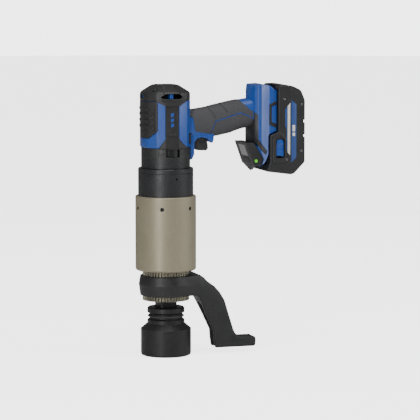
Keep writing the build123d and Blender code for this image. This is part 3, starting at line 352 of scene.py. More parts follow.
LABEL_BLUE = Finish("label_blue", (0.018, 0.055, 0.20), (0.04, 0.10, 0.3), 0.45, grain_depth=0.006,
                    mottle_share=0.05, edge_radius=0.1)
LABEL_PALE = Finish("label_pale", (0.62, 0.59, 0.53), (0.75, 0.72, 0.68), 0.45, grain_depth=0.006,
                    mottle_share=0.04, edge_radius=0.1)
PALE_FLOOR = WhiteFloor("studio_floor", (0.80, 0.80, 0.80), (0.80, 0.80, 0.80), 0.7, mottle_scale=2,
                        mottle_share=0.01, grain_scale=300, grain_depth=0.01)


# ------------------------------------------------------------------ workshop
class Lie(Enum):
    """How an outline lies: the plane that it is drawn in."""

    SIDE = "side"
    PLAN = "plan"
    FRONT = "front"

    def point(self, across: float, up: float, depth: float) -> Vector:
        """Point from two outline values and a depth across the plane."""
        if self is Lie.SIDE:
            return Vector((across, depth, up))
        if self is Lie.PLAN:
            return Vector((across, up, depth))
        return Vector((depth, across, up))


class Join(Enum):
    """What a boolean does with its tool."""

    CUT = "DIFFERENCE"
    ADD = "UNION"
    KEEP_COMMON = "INTERSECT"


def clear_selection() -> None:
    """Leave nothing selected and no piece in edit mode."""
    if bpy.context.object and bpy.context.object.mode != "OBJECT":
        bpy.ops.object.mode_set(mode="OBJECT")
    bpy.ops.object.select_all(action="DESELECT")


def take(piece: Piece) -> None:
    """Make a piece the only selected one, and the active one."""
    clear_selection()
    piece.select_set(True)
    bpy.context.view_layer.objects.active = piece


def put_outwards(piece: Piece) -> None:
    """Close small gaps and point all faces of a piece outwards."""
    take(piece)
    bpy.ops.object.mode_set(mode="EDIT")
    bpy.ops.mesh.select_all(action="SELECT")
    bpy.ops.mesh.remove_doubles(threshold=0.002)
    bpy.ops.mesh.normals_make_consistent(inside=False)
    bpy.ops.object.mode_set(mode="OBJECT")


def make_faces_flat(piece: Piece) -> None:
    """Merge doubled points and split the faces that aren't flat, as a boolean needs."""
    take(piece)
    bpy.ops.object.mode_set(mode="EDIT")
    bpy.ops.mesh.select_all(action="SELECT")
    bpy.ops.mesh.remove_doubles(threshold=0.002)
    bpy.ops.mesh.dissolve_degenerate(threshold=0.002)
    bpy.ops.mesh.vert_connect_nonplanar(angle_limit=math.radians(0.1))
    bpy.ops.object.mode_set(mode="OBJECT")


def swept(name: str, stations: list[list[Vector]]) -> Piece:
    """Solid extruded from its first section through all the others.

    Args:
        name: Name of the piece.
        stations: Sections of equally many points each.

    Returns:
        The closed piece.
    """
    clear_selection()
    bpy.ops.mesh.primitive_circle_add(vertices=len(stations[0]), radius=1.0, fill_type="NGON")
    piece = bpy.context.object
    piece.name = name
    for vertex, spot in zip(piece.data.vertices, stations[0]):
        vertex.co = spot
    for before, after in zip(stations, stations[1:]):
        step = after[0] - before[0]
        bpy.ops.object.mode_set(mode="EDIT")
        bpy.ops.mesh.extrude_region_move(TRANSFORM_OT_translate={"value": step})
        bpy.ops.object.mode_set(mode="OBJECT")
        for vertex in (vertex for vertex in piece.data.vertices if vertex.select):
            index = min(range(len(before)), key=lambda i: (before[i] + step - vertex.co).length_squared)
            vertex.co = after[index]
    put_outwards(piece)
    return piece


def plate(name: str, outline: Outline, low: float, high: float, lie: Lie = Lie.SIDE, rim: float = 0.0,
          steps: int = 3) -> Piece:
    """Plate with a flat outline, its edges rounded.

    Args:
        name: Name of the piece.
        outline: Corners in millimetres, each with a corner radius if it has one.
        low: Depth of one face.
        high: Depth of the other face.
        lie: Plane of the outline; a side outline's heights are rises.
        rim: Radius on the edges.
        steps: Faces across that radius.

    Returns:
        The plate.
    """
    lift = HEAD_LOW if lie is not Lie.PLAN else 0.0
    flat = eased(outline)
    piece = swept(name, [[lie.point(a, b + lift, depth) for a, b in flat] for depth in (low, high)])
    if rim:
        bevelled(piece, rim, steps)
    return piece


def oblong(left: float, low: float, right: float, top: float, radius: float | None = None) -> Outline:
    """Corners of an upright rectangle.

    Args:
        left: Its lower first coordinate.
        low: Its lower second coordinate.
        right: Its upper first coordinate.
        top: Its upper second coordinate.
        radius: Rounding of its corners; sharp when left out.

    Returns:
        The corners in order, each with its rounding if there is one.
    """
    corners = [(left, low), (right, low), (right, top), (left, top)]
    return corners if radius is None else [(*corner, radius) for corner in corners]


def eased(outline: Outline) -> Outline:
    """Outline with an arc at each corner that has a radius.

    Args:
        outline: Corners, as two values or two values and a radius.

    Returns:
        Plain points, without radii.
    """
    points = []
    for index, corner in enumerate(outline):
        here = Vector(corner[:2])
        if len(corner) < 3:
            points.append((here.x, here.y))
            continue
        before = (Vector(outline[index - 1][:2]) - here).normalized()
        after = (Vector(outline[(index + 1) % len(outline)][:2]) - here).normalized()
        half_turn = before.angle(after) / 2
        run = corner[2] / math.tan(half_turn)
        centre = here + (before + after).normalized() * corner[2] / math.sin(half_turn)
        start = here + before * run - centre
        sweep = math.pi - 2 * half_turn
        if before.x * after.y - before.y * after.x > 0:
            sweep = -sweep
        count = max(2, round(abs(sweep) / 0.25))
        for step in range(count + 1):
            turned_by = Matrix.Rotation(sweep * step / count, 2)
            spot = centre + turned_by @ start
            points.append((spot.x, spot.y))
    return points


def ring_points(radius: float, count: int = 96) -> Outline:
    """Points of a circle round the origin."""
    return [(radius * math.cos(math.tau * i / count), radius * math.sin(math.tau * i / count))
            for i in range(count)]


def turned(name: str, profile: Outline, lie: Lie = Lie.PLAN, centre: tuple[float, float] = (0.0, 0.0),
           count: int = 96) -> Piece:
    """Solid of revolution from a profile of radius and depth.

    Args:
        name: Name of the piece.
        profile: Radius and depth at each step along the axis.
        lie: Plane across the axis.
        centre: Place of the axis in that plane.
        count: Faces round the piece.

    Returns:
        The closed piece.
    """
    lift = HEAD_LOW if lie is not Lie.PLAN else 0.0
    stations = [
        [lie.point(a + centre[0], b + centre[1] + lift, depth) for a, b in ring_points(radius, count)]
                for radius, depth in profile]
    return swept(name, stations)


def bevelled(piece: Piece, radius: float, steps: int = 3, angle: float = 28.0) -> Piece:
    """Round the edges of a piece that are sharper than an angle.

    Args:
        piece: Piece to round.
        radius: Radius in millimetres.
        steps: Faces across the radius.
        angle: Least turn of an edge, in degrees.

    Returns:
        The same piece.
    """
    modifier = piece.modifiers.new("rounding", "BEVEL")
    modifier.width = radius
    modifier.segments = steps
    modifier.limit_method = "ANGLE"
    modifier.angle_limit = math.radians(angle)
    modifier.harden_normals = False
    take(piece)
    bpy.ops.object.modifier_apply(modifier=modifier.name)
    return piece


def combined(piece: Piece, how: Join, *tools: Piece) -> Piece:
    """Cut, join or trim a piece with others, which are used up.

    Args:
        piece: Piece that stays.
        how: What each tool does to it.
        tools: Closed pieces.

    Returns:
        The same piece.
    """
    for tool in tools:
        for each in (piece, tool):
            make_faces_flat(each)
        modifier = piece.modifiers.new("combined", "BOOLEAN")
        modifier.operation = how.value
        modifier.solver = "EXACT"
        modifier.object = tool
        take(piece)
        bpy.ops.object.modifier_apply(modifier=modifier.name)
        bpy.data.objects.remove(tool)
    return piece


def copied(piece: Piece, name: str) -> Piece:
    """Copy of a piece with its own mesh."""
    twin = piece.copy()
    twin.data = piece.data.copy()
    twin.name = name
    bpy.context.collection.objects.link(twin)
    return twin


def mirrored(piece: Piece, name: str) -> Piece:
    """Copy of a piece on the other side of the tool."""
    twin = copied(piece, name)
    twin.data.transform(Matrix.Scale(-1, 4, Vector((0, 1, 0))))
    put_outwards(twin)
    return twin


def gathered(name: str, *pieces: Piece) -> Piece:
    """Several pieces as one object.

    Args:
        name: Name of the result.
        pieces: Pieces to gather, used up.

    Returns:
        The gathered piece.
    """
    take(pieces[0])
    for piece in pieces:
        piece.select_set(True)
    bpy.ops.object.join()
    pieces[0].name = name
    return pieces[0]


def both_sides(piece: Piece) -> Piece:
    """A near-side piece and its mirror image, gathered."""
    return gathered(piece.name, piece, mirrored(piece, piece.name + "_far"))


def grown(outline: Outline, margin: float) -> Outline:
    """Outline with each edge moved outwards.

    Args:
        outline: Plain corners, in either turning sense.
        margin: How far the edges move; less than nought moves them in.

    Returns:
        The new corners.
    """
    area = sum(a[0] * b[1] - b[0] * a[1] for a, b in zip(outline, outline[1:] + outline[:1]))
    sense = margin if area > 0 else -margin
    moved = []
    for index, corner in enumerate(outline):
        here = Vector(corner[:2])
        towards = (here - Vector(outline[index - 1][:2])).normalized()
        onwards = (Vector(outline[(index + 1) % len(outline)][:2]) - here).normalized()
        normals = Vector((towards.y, -towards.x)), Vector((onwards.y, -onwards.x))
        middle = (normals[0] + normals[1]).normalized()
        shift = middle * sense / max(0.4, middle.dot(normals[0]))
        moved.append((here.x + shift.x, here.y + shift.y, *corner[2:]))
    return moved


def strip(name: str, line: Outline, width: float, reach: float) -> Piece:
    """Bar that follows a line on the side of the tool, right through it.

    Args:
        name: Name of the piece.
        line: Points along the middle of the bar.
        width: Width of the bar.
        reach: How far it stands out on each side.

    Returns:
        The bar.
    """
    sides = ([], [])
    for index, point in enumerate(line):
        before = Vector(line[max(index - 1, 0)])
        after = Vector(line[min(index + 1, len(line) - 1)])
        along = (after - before).normalized()
        across = Vector((-along.y, along.x)) * width / 2
        sides[0].append((point[0] + across.x, point[1] + across.y))
        sides[1].append((point[0] - across.x, point[1] - across.y))
    return plate(name, sides[0] + sides[1][::-1], -reach, reach)


def finished(
    piece: Piece, finish: Finish, body: str, slot: str, *stands_for: str, angle: float = 32.0) -> Piece:
    """Turn a piece into metres, smooth it, dress it, and set it on its body.

    Args:
        piece: Piece in its place.
        finish: Finish all over.
        body: Body that it moves with.
        slot: Not used.
        stands_for: Frame nodes that it replaces.
        angle: Edges sharper than this stay crisp.

    Returns:
        The same piece.
    """
    piece.data.transform(Matrix.Scale(MM, 4))
    take(piece)
    bpy.ops.object.shade_smooth_by_angle(angle=math.radians(angle))
    finish.dress(piece)
    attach(piece, body)
    if stands_for:
        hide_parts(*stands_for)
    LOG.info("%s: %d faces on %s", piece.name, len(piece.data.polygons), body)
    return piece


# ------------------------------------------------------------------ reaction arm
@dataclass
class ReactionArm:
    """Cast arm: ring with a draft ridge, cranked leg with a channel, and a flat foot."""

    low: float = field(default_factory=lambda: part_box("reaction_arm")[0].z / MM)
    top: float = field(default_factory=lambda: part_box("reaction_arm")[1].z / MM)
    reach: float = field(default_factory=lambda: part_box("reaction_arm")[1].x / MM)
    ring_height: float = 29.4
    ridge_radius: float = 39.4
    draft: float = 2.0
    bore_radius: float = 33.95
    leg_half_width: float = 15.5
    foot_thickness: float = 14.5
    corner: float = 1.6

    def ring(self) -> Piece:
        """Return the ring, widest at its ridge."""
        base = self.top - self.ring_height
        edge = self.ridge_radius - self.draft
        return turned("arm_ring", [
            (edge - self.corner, base), (edge - 0.3, base + 0.5), (edge, base + self.corner),
            (self.ridge_radius, base + 0.55 * self.ring_height), (edge, self.top - self.corner),
            (edge - 0.4, self.top - 0.5), (edge - self.corner, self.top)], count=128)

    def section(self, outer: tuple[float, float], inner: tuple[float, float], half: float) -> list[Vector]:
        """Six corners of the leg between its outer and inner faces.

        Args:
            outer: X and Z on the outer face.
            inner: X and Z on the inner face.
            half: Half width at the ridge.

        Returns:
            The corners.
        """
        narrow = half - self.draft
        middle = ((outer[0] + inner[0]) / 2, (outer[1] + inner[1]) / 2)
        corners = [(outer, -narrow), (middle, -half), (inner, -narrow), (inner, narrow), (middle, half),
                   (outer, narrow)]
        return [Vector((spot[0], y, spot[1])) for spot, y in corners]

    def leg(self) -> Piece:
        """Return the leg and foot, extruded down the crank."""
        top = self.top
        under = top - self.ring_height
        foot_top = self.low + self.foot_thickness
        half = self.leg_half_width
        run = [
            ((12, top), (12, under), 36.2), ((46, top), (40, under), 26.2),
            ((52, top - 4.2), (45, under - 3.4), 24.2),
            ((57, top - 9.5), (48, under - 9), 22.4), ((69, top - 17.8), (53, under - 20), 19.0),
            ((78, top - 27.4), (58, under - 31), 16.6), ((85.4, top - 39.3), (63, under - 42), half),
            ((92, foot_top + 34), (69, self.low + 25), half),
            ((98.9, foot_top + 11.8), (70, self.low + 12), half),
            ((101.6, foot_top + 6), (72, self.low), half), ((106.5, foot_top + 1.2), (92, self.low), half),
            ((113, foot_top), (110, self.low), half),
            ((self.reach - 4, foot_top), (self.reach - 4, self.low), half),
            ((self.reach - 1, foot_top - 1), (self.reach - 1, self.low + 1), half - 2.2),
            ((self.reach, foot_top - 3), (self.reach, self.low + 3), half - 5)]
        return bevelled(swept("arm_leg", [self.section(*station) for station in run]), self.corner, 3, 40)

    def build(self) -> None:
        """Make the arm and set it on its body."""
        arm = combined(self.ring(), Join.ADD, self.leg())
        base = self.top - self.ring_height
        bore = turned("arm_bore", [
            (self.bore_radius + 1.4, base - 1), (self.bore_radius + 1.2, base),
            (self.bore_radius, base + 1.2),
            (self.bore_radius, self.top - 1.2), (self.bore_radius + 1.2, self.top),
            (self.bore_radius + 1.4, self.top + 1)], count=128)
        lift = -HEAD_LOW
        channel = plate("arm_channel", [
            (60, self.low - 3 + lift), (79, self.low - 3 + lift), (79, self.low + 24 + lift, 4),
            (62, base - 14 + lift, 4), (44, base - 14 + lift)], -7.5, 7.5, rim=1.2)
        pocket = plate("foot_pocket", oblong(109, -10, 129, 10, 3),
                       self.low + self.foot_thickness - 1.2, self.low + self.foot_thickness + 4,
                       Lie.PLAN, 0.6)
        combined(arm, Join.CUT, bore, channel, pocket)
        arm.name = "reaction_arm_casting"
        finished(arm, CAST_STEEL, "arm", "cast_steel", "reaction_arm", angle=15)


# ------------------------------------------------------------------ power head
@dataclass
class PowerHead:
    """Eight-sided blue head with its ribbed back pad, badge panels, black crown and vents."""

    cap_low: float = 67.6
    cap_tab: float = 61.5
    badge_low: float = 15.0
    badge_half_width: float = 10.0
    crown_low: float = 78.0
    crown_inset: float = 19.0
    screw_span: float = 22.5
    corner: float = 1.6
    side: Outline = field(default_factory=lambda: [
        (33, 14), (24.5, 28.5), (10, 36), (-10, 36), (-22, 31.5), (-32.5, 20.5), (-36, 9)])

    def section(self, inset: float) -> Outline:
        """Return the corners of the head's plan outline, pulled in all round."""
        pulled = []
        for x, y in self.side:
            reach = math.hypot(x, y)
            pulled.append((x * (1 - inset / reach), y * (1 - inset / reach)))
        return pulled + [(x, -y) for x, y in reversed(pulled)]

    def prism(self, name: str, steps: Outline) -> Piece:
        """Solid with the head's outline at several levels.

        Args:
            name: Name of the piece.
            steps: Inset and rise at each level.

        Returns:
            The solid.
        """
        return swept(name, [[Lie.PLAN.point(x, y, HEAD_LOW + rise) for x, y in self.section(inset)]
                            for inset, rise in steps])

    def core(self) -> Piece:
        """Return the blue part of the head, sunk under the pads, with the ribs that show in the vents."""
        core = bevelled(
            self.prism("head_core", [(1.2, 0), (0, 1.2), (0, self.cap_low)]), self.corner, 3, 20)
        back = plate("back_room", [(-60, 13.6), (-31, 13.6), (-20.4, 25), (-20.4, 90), (-60, 90)], -60, 60)
        sunk = self.prism("sunk_back", [(1.6, -2), (1.6, 80)])
        combined(core, Join.CUT, combined(back, Join.CUT, sunk))
        badge = plate("badge_room", oblong(-10.6, -5, 10.6, 70), -60, 60)
        inner = plate("badge_floor", oblong(-12, -6, 12, 72), -34.4, 34.4)
        combined(core, Join.CUT, combined(badge, Join.CUT, inner))
        base = [(-19.4, -1), (-19.4, 0.6), (-11, 12.5), (11, 12.5), (18, 5), (27, 0.6), (27, -1)]
        tongue = plate("tongue_room", base, -60, 60)
        combined(
            core, Join.CUT, combined(tongue, Join.CUT, self.prism("sunk_front", [(2.0, -3), (2.0, 40)])))
        rib = plate("vent_rib", oblong(-2.4, 60, 2.4, 80), -33, 33, rim=0.5)
        side_rib = plate("side_vent_core", oblong(-33, 60, -20, 78), -8, 8, rim=0.5)
        return combined(core, Join.ADD, rib, side_rib)

    def back_pad(self) -> Piece:
        """Return the black pad round the back, with chevron ridges moulded on it."""
        region = [(-60, 14.2), (-31.3, 14.2), (-21, 25.4), (-21, 67.2), (-60, 67.2)]
        pad = bevelled(self.prism("pad_block", [(0, 0), (0, 90)]), 1.4, 3, 20)
        combined(pad, Join.KEEP_COMMON, plate("pad_region", region, -60, 60))
        combined(pad, Join.CUT, self.prism("pad_inside", [(3.0, -2), (3.0, 95)]))
        for index in range(4):
            foot = 24.0 + 8.6 * index
            ridge = [
                (-60, foot + 6), (-34.5, foot + 6), (-29.5, foot), (-25.5, foot + 4), (-25.5, foot + 7.6),
                     (-29.5, foot + 3.6), (-33.2, foot + 8.6), (-60, foot + 8.6)]
            bar = plate("pad_ridge", ridge, -60, 60)
            combined(bar, Join.KEEP_COMMON, self.prism("ridge_skin", [(-0.9, 10), (-0.9, 80)]))
            combined(bar, Join.CUT, self.prism("ridge_back", [(1.5, 5), (1.5, 85)]))
            bevelled(bar, 0.35, 2)
            combined(pad, Join.ADD, bar)
        return pad

    def badge(self) -> Piece:
        """Return the near badge panel: a plain sunk field between two bevelled bars."""
        half = self.badge_half_width
        low, top = self.badge_low - 2.0, self.cap_tab
        panel = plate("badge_panel", oblong(-half, low, half, top, 1), -35.2, -32, rim=0.5)
        field_cut = plate("badge_field", oblong(-7.4, low + 9, 7.4, top - 6, 1),
                          -40, -34.6, rim=0.3)
        combined(panel, Join.CUT, field_cut)
        bars = [
            plate(
                "badge_lower_bar",
                [(-6.4, low + 4.4, 1), (6.4, low + 4.4, 1), (7.6, low + 7.4, 1), (-7.6, low + 7.4, 1)],
                  -36.4, -33, rim=0.7),
            plate("badge_upper_bar", oblong(-7, top - 4.6, 7, top - 3, 0.6),
                  -35.9, -33, rim=0.4)]
        return gathered("badge_panel", panel, *bars)

    def badge_mark(self) -> Piece:
        """Return three slanted blue bars, a mark that stands for no maker."""
        bars = []
        for index in range(3):
            low = 30 + 7.4 * index
            bars.append(
                plate("badge_mark", [(-2.0, low), (2.6, low + 1.6), (2.6, low + 6.4), (-2.0, low + 4.8)],
                              -35.0, -34.2, rim=0.15, steps=2))
        return gathered("badge_mark", *bars)

    def crown(self) -> Piece:
        """Return the black end cap, with its shield edge, vents, raised ribs and screw wells."""
        crown = self.prism("crown", [(0, self.cap_low), (0, self.crown_low), (1.6, self.crown_low + 2.2),
                                     (self.crown_inset - 2.5, 89.2), (self.crown_inset, 90.0)])
        bevelled(crown, 1.5, 3, 20)
        shield = plate(
            "crown_shield",
            [(-23, self.cap_low + 2), (-22.4, self.cap_low - 0.4), (-10.6, 60.7), (10.6, 60.7),
                                        (22.4, self.cap_low - 0.4), (23, self.cap_low + 2)], -60, 60)
        combined(shield, Join.KEEP_COMMON, self.prism("shield_skin", [(-0.6, 50), (-0.6, 72)]))
        combined(shield, Join.CUT, self.prism("shield_back", [(3, 40), (3, 80)]))
        combined(crown, Join.ADD, bevelled(shield, 0.7, 2))
        lip = plate(
            "vent_lip", [(-14, 66.6, 1), (14, 66.6, 1), (16.5, 70.2, 0.6), (-16.5, 70.2, 0.6)], -37.2,
            -30, rim=0.8)
        combined(crown, Join.ADD, lip, mirrored(lip, "vent_lip_far"))
        for lean in (-1, 1):
            ribs = plate(
                "crown_rib", [(-5.6, 78, 0.5), (-3.0, 78, 0.5), (1.0, 92.5), (-1.6, 92.5)], -34.5, 34.5,
                rim=0.5)
            ribs.data.transform(Matrix.Scale(lean, 4, Vector((1, 0, 0))))
            ribs.data.transform(Matrix.Translation((-8 * lean, 0, 0)))
            put_outwards(ribs)
            skin = self.prism("rib_skin", [(-0.6, 70), (-0.6, 78.6), (self.crown_inset - 3.2, 90.0)])
            combined(crown, Join.ADD, combined(ribs, Join.KEEP_COMMON, skin))
        slot = plate(
            "vent_slot", [(-16.5, 73.4), (-12.2, 71), (12.2, 71), (16.5, 73.4), (11, 78), (-11, 78)], -60,
            60)
        side_slot = plate("side_vent", oblong(-9, 71.4, 9, 76, 0.8), -60, -10, Lie.FRONT)
        inner = self.prism("crown_room", [(3.4, 60), (3.4, 77.4)])
        combined(crown, Join.CUT, inner, slot, side_slot)
        wells = [
            turned("screw_well",
            [(3.1, HEAD_LOW + self.crown_low), (3.1, HEAD_LOW + 88), (4.2, HEAD_LOW + 93)],
                        centre=(x, y), count=28)
                 for x in (-self.screw_span, self.screw_span) for y in (-self.screw_span, self.screw_span)]
        return combined(crown, Join.CUT, *wells)

    def build(self) -> Piece:
        """Make the black pieces and set them on the head.

        Returns:
            The blue core, which the housing takes in.
        """
        finished(self.back_pad(), BLACK, "head", "soft_grip", "back_pad")
        finished(both_sides(self.badge()), BLACK, "head", "black_plastic", "badge_panels")
        finished(both_sides(self.badge_mark()), BLUE, "head", "blue_plastic")
        finished(self.crown(), BLACK, "head", "black_plastic", "rear_cap", angle=24)
        return self.core()


# ------------------------------------------------------------------ handle and foot
@dataclass
class Handle:
    """Blue housing with guard, handle and foot, and the soft skins and black overmoulds on it."""

    stations: Outline = field(default_factory=lambda: [
        (22.0, 54.0, 10.0, 17.0), (40.0, 54.0, 10.5, 17.5), (57.8, 56.6, 12.6, 17.8),
        (76.8, 61.0, 14.4, 18.0),
        (95.0, 64.8, 18.2, 18.6), (110.6, 67.2, 23.6, 19.2), (128.0, 69.6, 27.0, 20.0)])
    accent: Outline = field(default_factory=lambda: [
        (37.4, 22.2), (62.7, 17.4), (70.5, 36.5), (107.8, 48.0), (127, 39.6)])
    foot: Outline = field(default_factory=lambda: [
        (106, 8, 3), (106, 74), (122.8, 74, 2), (128.6, 88, 3), (148, 88, 6), (159, 79, 3), (159, 21, 2),
        (146.3, 16, 3),
        (146.3, -12, 4), (142, -24, 3), (136, -30, 3), (106, -30, 2)])
    foot_plan: Outline = field(default_factory=lambda: [
        (123.2, -5, 3), (125.2, -13, 4), (128.6, -20, 4), (133.4, -24.6, 2), (137.4, -25.4, 1),
        (147.2, -32, 1),
        (165, -32), (165, 32), (147.2, 32, 1), (137.4, 25.4, 1), (133.4, 24.6, 2), (128.6, 20, 4),
        (125.2, 13, 4),
        (123.2, 5, 3)])
    guard: Outline = field(default_factory=lambda: [
        (14, 14), (32.8, 14), (32.8, -19.7, 1), (36.5, -17.5, 2), (39.6, -11, 4), (39.6, 6, 3),
        (43, 11.4, 3),
        (50, 13.4, 4), (58, 12, 4), (66.5, 4.2, 1.2), (68.5, 8, 1.5), (69.5, 16, 3), (62, 30), (30, 42),
        (14, 42)])
    grip: Outline = field(default_factory=lambda: [
        (28.5, 64), (28.5, 46.6), (36.7, 42), (39.7, 22.8), (62, 17.5), (69, 17.5), (72, 8), (100, 8),
        (126, 12), (126, 50), (121, 53), (109, 65), (99, 78), (60, 74)])
    display_room: Outline = field(default_factory=lambda: [
        (100, 4.6), (124.6, 4.6), (139.6, -19), (135, -28.4), (135, -45), (100, -45)])
    foot_half_width: float = 32.0
    guard_half_width: float = 13.5
    groove_depth: float = 0.55
    fullness: float = 2.7

    def sections(self, inset: float) -> list[list[Vector]]:
        """Cross sections of the handle, pulled in all round.

        Args:
            inset: How far they are pulled in.

        Returns:
            The sections, one for each station.
        """
        stations = []
        for x, top, bottom, half in self.stations:
            height = (top - bottom) / 2 - inset
            points = []
            for index in range(48):
                angle = math.tau * index / 48
                across = math.copysign(
                    abs(math.cos(angle)) ** (2 / self.fullness), math.cos(angle)) * (half - inset)
                up = math.copysign(abs(math.sin(angle)) ** (2 / self.fullness), math.sin(angle)) * height
                points.append(Vector((x, across, HEAD_LOW + (top + bottom) / 2 + up)))
            stations.append(points)
        return stations

    def solid(self, name: str, inset: float) -> Piece:
        """Return the handle's solid, pulled in all round."""
        return swept(name, self.sections(inset))

    def housing(self, head: Piece) -> Piece:
        """Blue housing: head, guard, handle and foot in one, cut for what sits in it.

        Args:
            head: The head's core, used up.

        Returns:
            The housing.
        """
        guard = plate("guard", self.guard, -self.guard_half_width, self.guard_half_width, rim=1.8)
        foot = self.foot_block("foot", 0.0)
        housing = combined(head, Join.ADD, self.solid("handle_core", 0.7), guard, foot)
        nose = turned("nose_room", [(35.9, HEAD_LOW - 40), (35.9, HEAD_LOW)], count=128)
        slot = plate("trigger_slot", oblong(40.2, -8, 62.8, 28), -8.2, 8.2)
        lever = plate("lever_slot", oblong(28.8, 4.4, 34.2, 20, 1.5), -40, 40)
        seat = plate("terminal_room", oblong(150, 40, 160, 77), -14, 14)
        window = plate("bracket_room", self.bracket_outline(0.3), -40, -self.foot_half_width + 0.9)
        display = plate("display_room", self.display_room, -40, 40)
        combined(
            housing, Join.CUT, nose, slot, lever, seat, display, window,
            mirrored(window, "bracket_room_far"))
        for place in (-1, 1):
            rail = plate("battery_rail", oblong(158.6, 24, 162.2, 80), 15 * place, 19 * place, rim=0.3)
            head_rail = plate("rail_head", oblong(162.1, 24, 165.8, 80), 15 * place, 23 * place, rim=0.4)
            combined(housing, Join.ADD, combined(rail, Join.ADD, head_rail))
        return housing

    def grip_skin(self) -> Piece:
        """Return the black grip skin, with the accent line left open and slanted grooves across it."""
        skin = self.solid("grip_skin", 0.0)
        combined(skin, Join.KEEP_COMMON, plate("grip_region", self.grip, -40, 40))
        combined(skin, Join.CUT, strip("accent_room", self.accent, 1.7, 40))
        grooves = [[(57, 64), (62.9, 52.9), (69.6, 41.4)], [(74.5, 68), (79.6, 60), (87.9, 48.6)]]
        for line in grooves:
            floor = self.solid("groove_floor", self.groove_depth)
            combined(skin, Join.CUT, combined(strip("grip_groove", line, 2.2, 40), Join.CUT, floor))
        combined(skin, Join.CUT, self.solid("skin_inside", 2.0))
        return skin

    def foot_block(self, name: str, margin: float) -> Piece:
        """Solid foot, narrow and round at its front, with a margin all round.

        Args:
            name: Name of the piece.
            margin: How far its faces stand out.

        Returns:
            The solid.
        """
        half = self.foot_half_width + margin
        block = plate(name, grown(self.foot, margin), -half, half, rim=3.0, steps=4)
        plan = plate("foot_plan", grown(self.foot_plan, margin), HEAD_LOW - 60, HEAD_LOW + 120, Lie.PLAN)
        return combined(block, Join.KEEP_COMMON, plan)

    def bracket_outline(self, margin: float) -> Outline:
        """Return the outline of the black bracket on the side of the foot, with a margin."""
        return grown([(147.2, 30.5), (157.8, 26.4), (157.8, 65), (147.2, 60)], margin)

    def bracket(self) -> Piece:
        """Return the black bracket with its blue field left open."""
        bracket = plate(
            "foot_bracket", self.bracket_outline(0), -self.foot_half_width - 0.5,
            -self.foot_half_width + 0.8, rim=0.4)
        opening = plate(
            "bracket_field",
            [(150.4, 34.5, 0.8), (158.4, 31.5, 0.8), (158.4, 60.5, 0.8), (150.4, 57, 0.8)], -40, -30)
        return combined(bracket, Join.CUT, opening)

    def bracket_field(self) -> Piece:
        """Return the blue field inside the bracket."""
        return plate(
            "bracket_field_blue",
            [(150.6, 34.8, 0.6), (157.6, 32, 0.6), (157.6, 60, 0.6), (150.6, 56.8, 0.6)],
                     -self.foot_half_width - 0.1, -self.foot_half_width + 1, rim=0.3)

    def overmould(self) -> Piece:
        """Return the black overmould round the foot's front."""
        region = [
            (100, 53), (126, 49.6), (132.4, 45.5), (133, 10), (144.5, -8), (142.4, -13), (131, 1),
            (121, 5.4),
            (100, 5.4)]
        skin = self.foot_block("foot_overmould", 0.5)
        combined(skin, Join.KEEP_COMMON, plate("overmould_region", region, -50, 50))
        combined(skin, Join.CUT, self.foot_block("overmould_inside", -1.6))
        slot = plate("overmould_slot", oblong(135, 14, 137, 50, 0.8), -40, 40)
        return combined(bevelled(skin, 0.5, 2, 50), Join.CUT, slot)

    def build(self, head: Piece) -> None:
        """Make the housing and its skins.

        Args:
            head: The head's core.
        """
        finished(self.housing(head), BLUE, "head", "blue_plastic", "housing_near", "housing_far")
        finished(self.grip_skin(), RUBBER, "head", "soft_grip", "grip_near", "grip_far")
        finished(self.overmould(), BLACK, "head", "black_plastic", "foot_bumpers")
        finished(both_sides(self.bracket()), BLACK, "head", "black_plastic")
        finished(both_sides(self.bracket_field()), BLUE, "head", "blue_plastic")


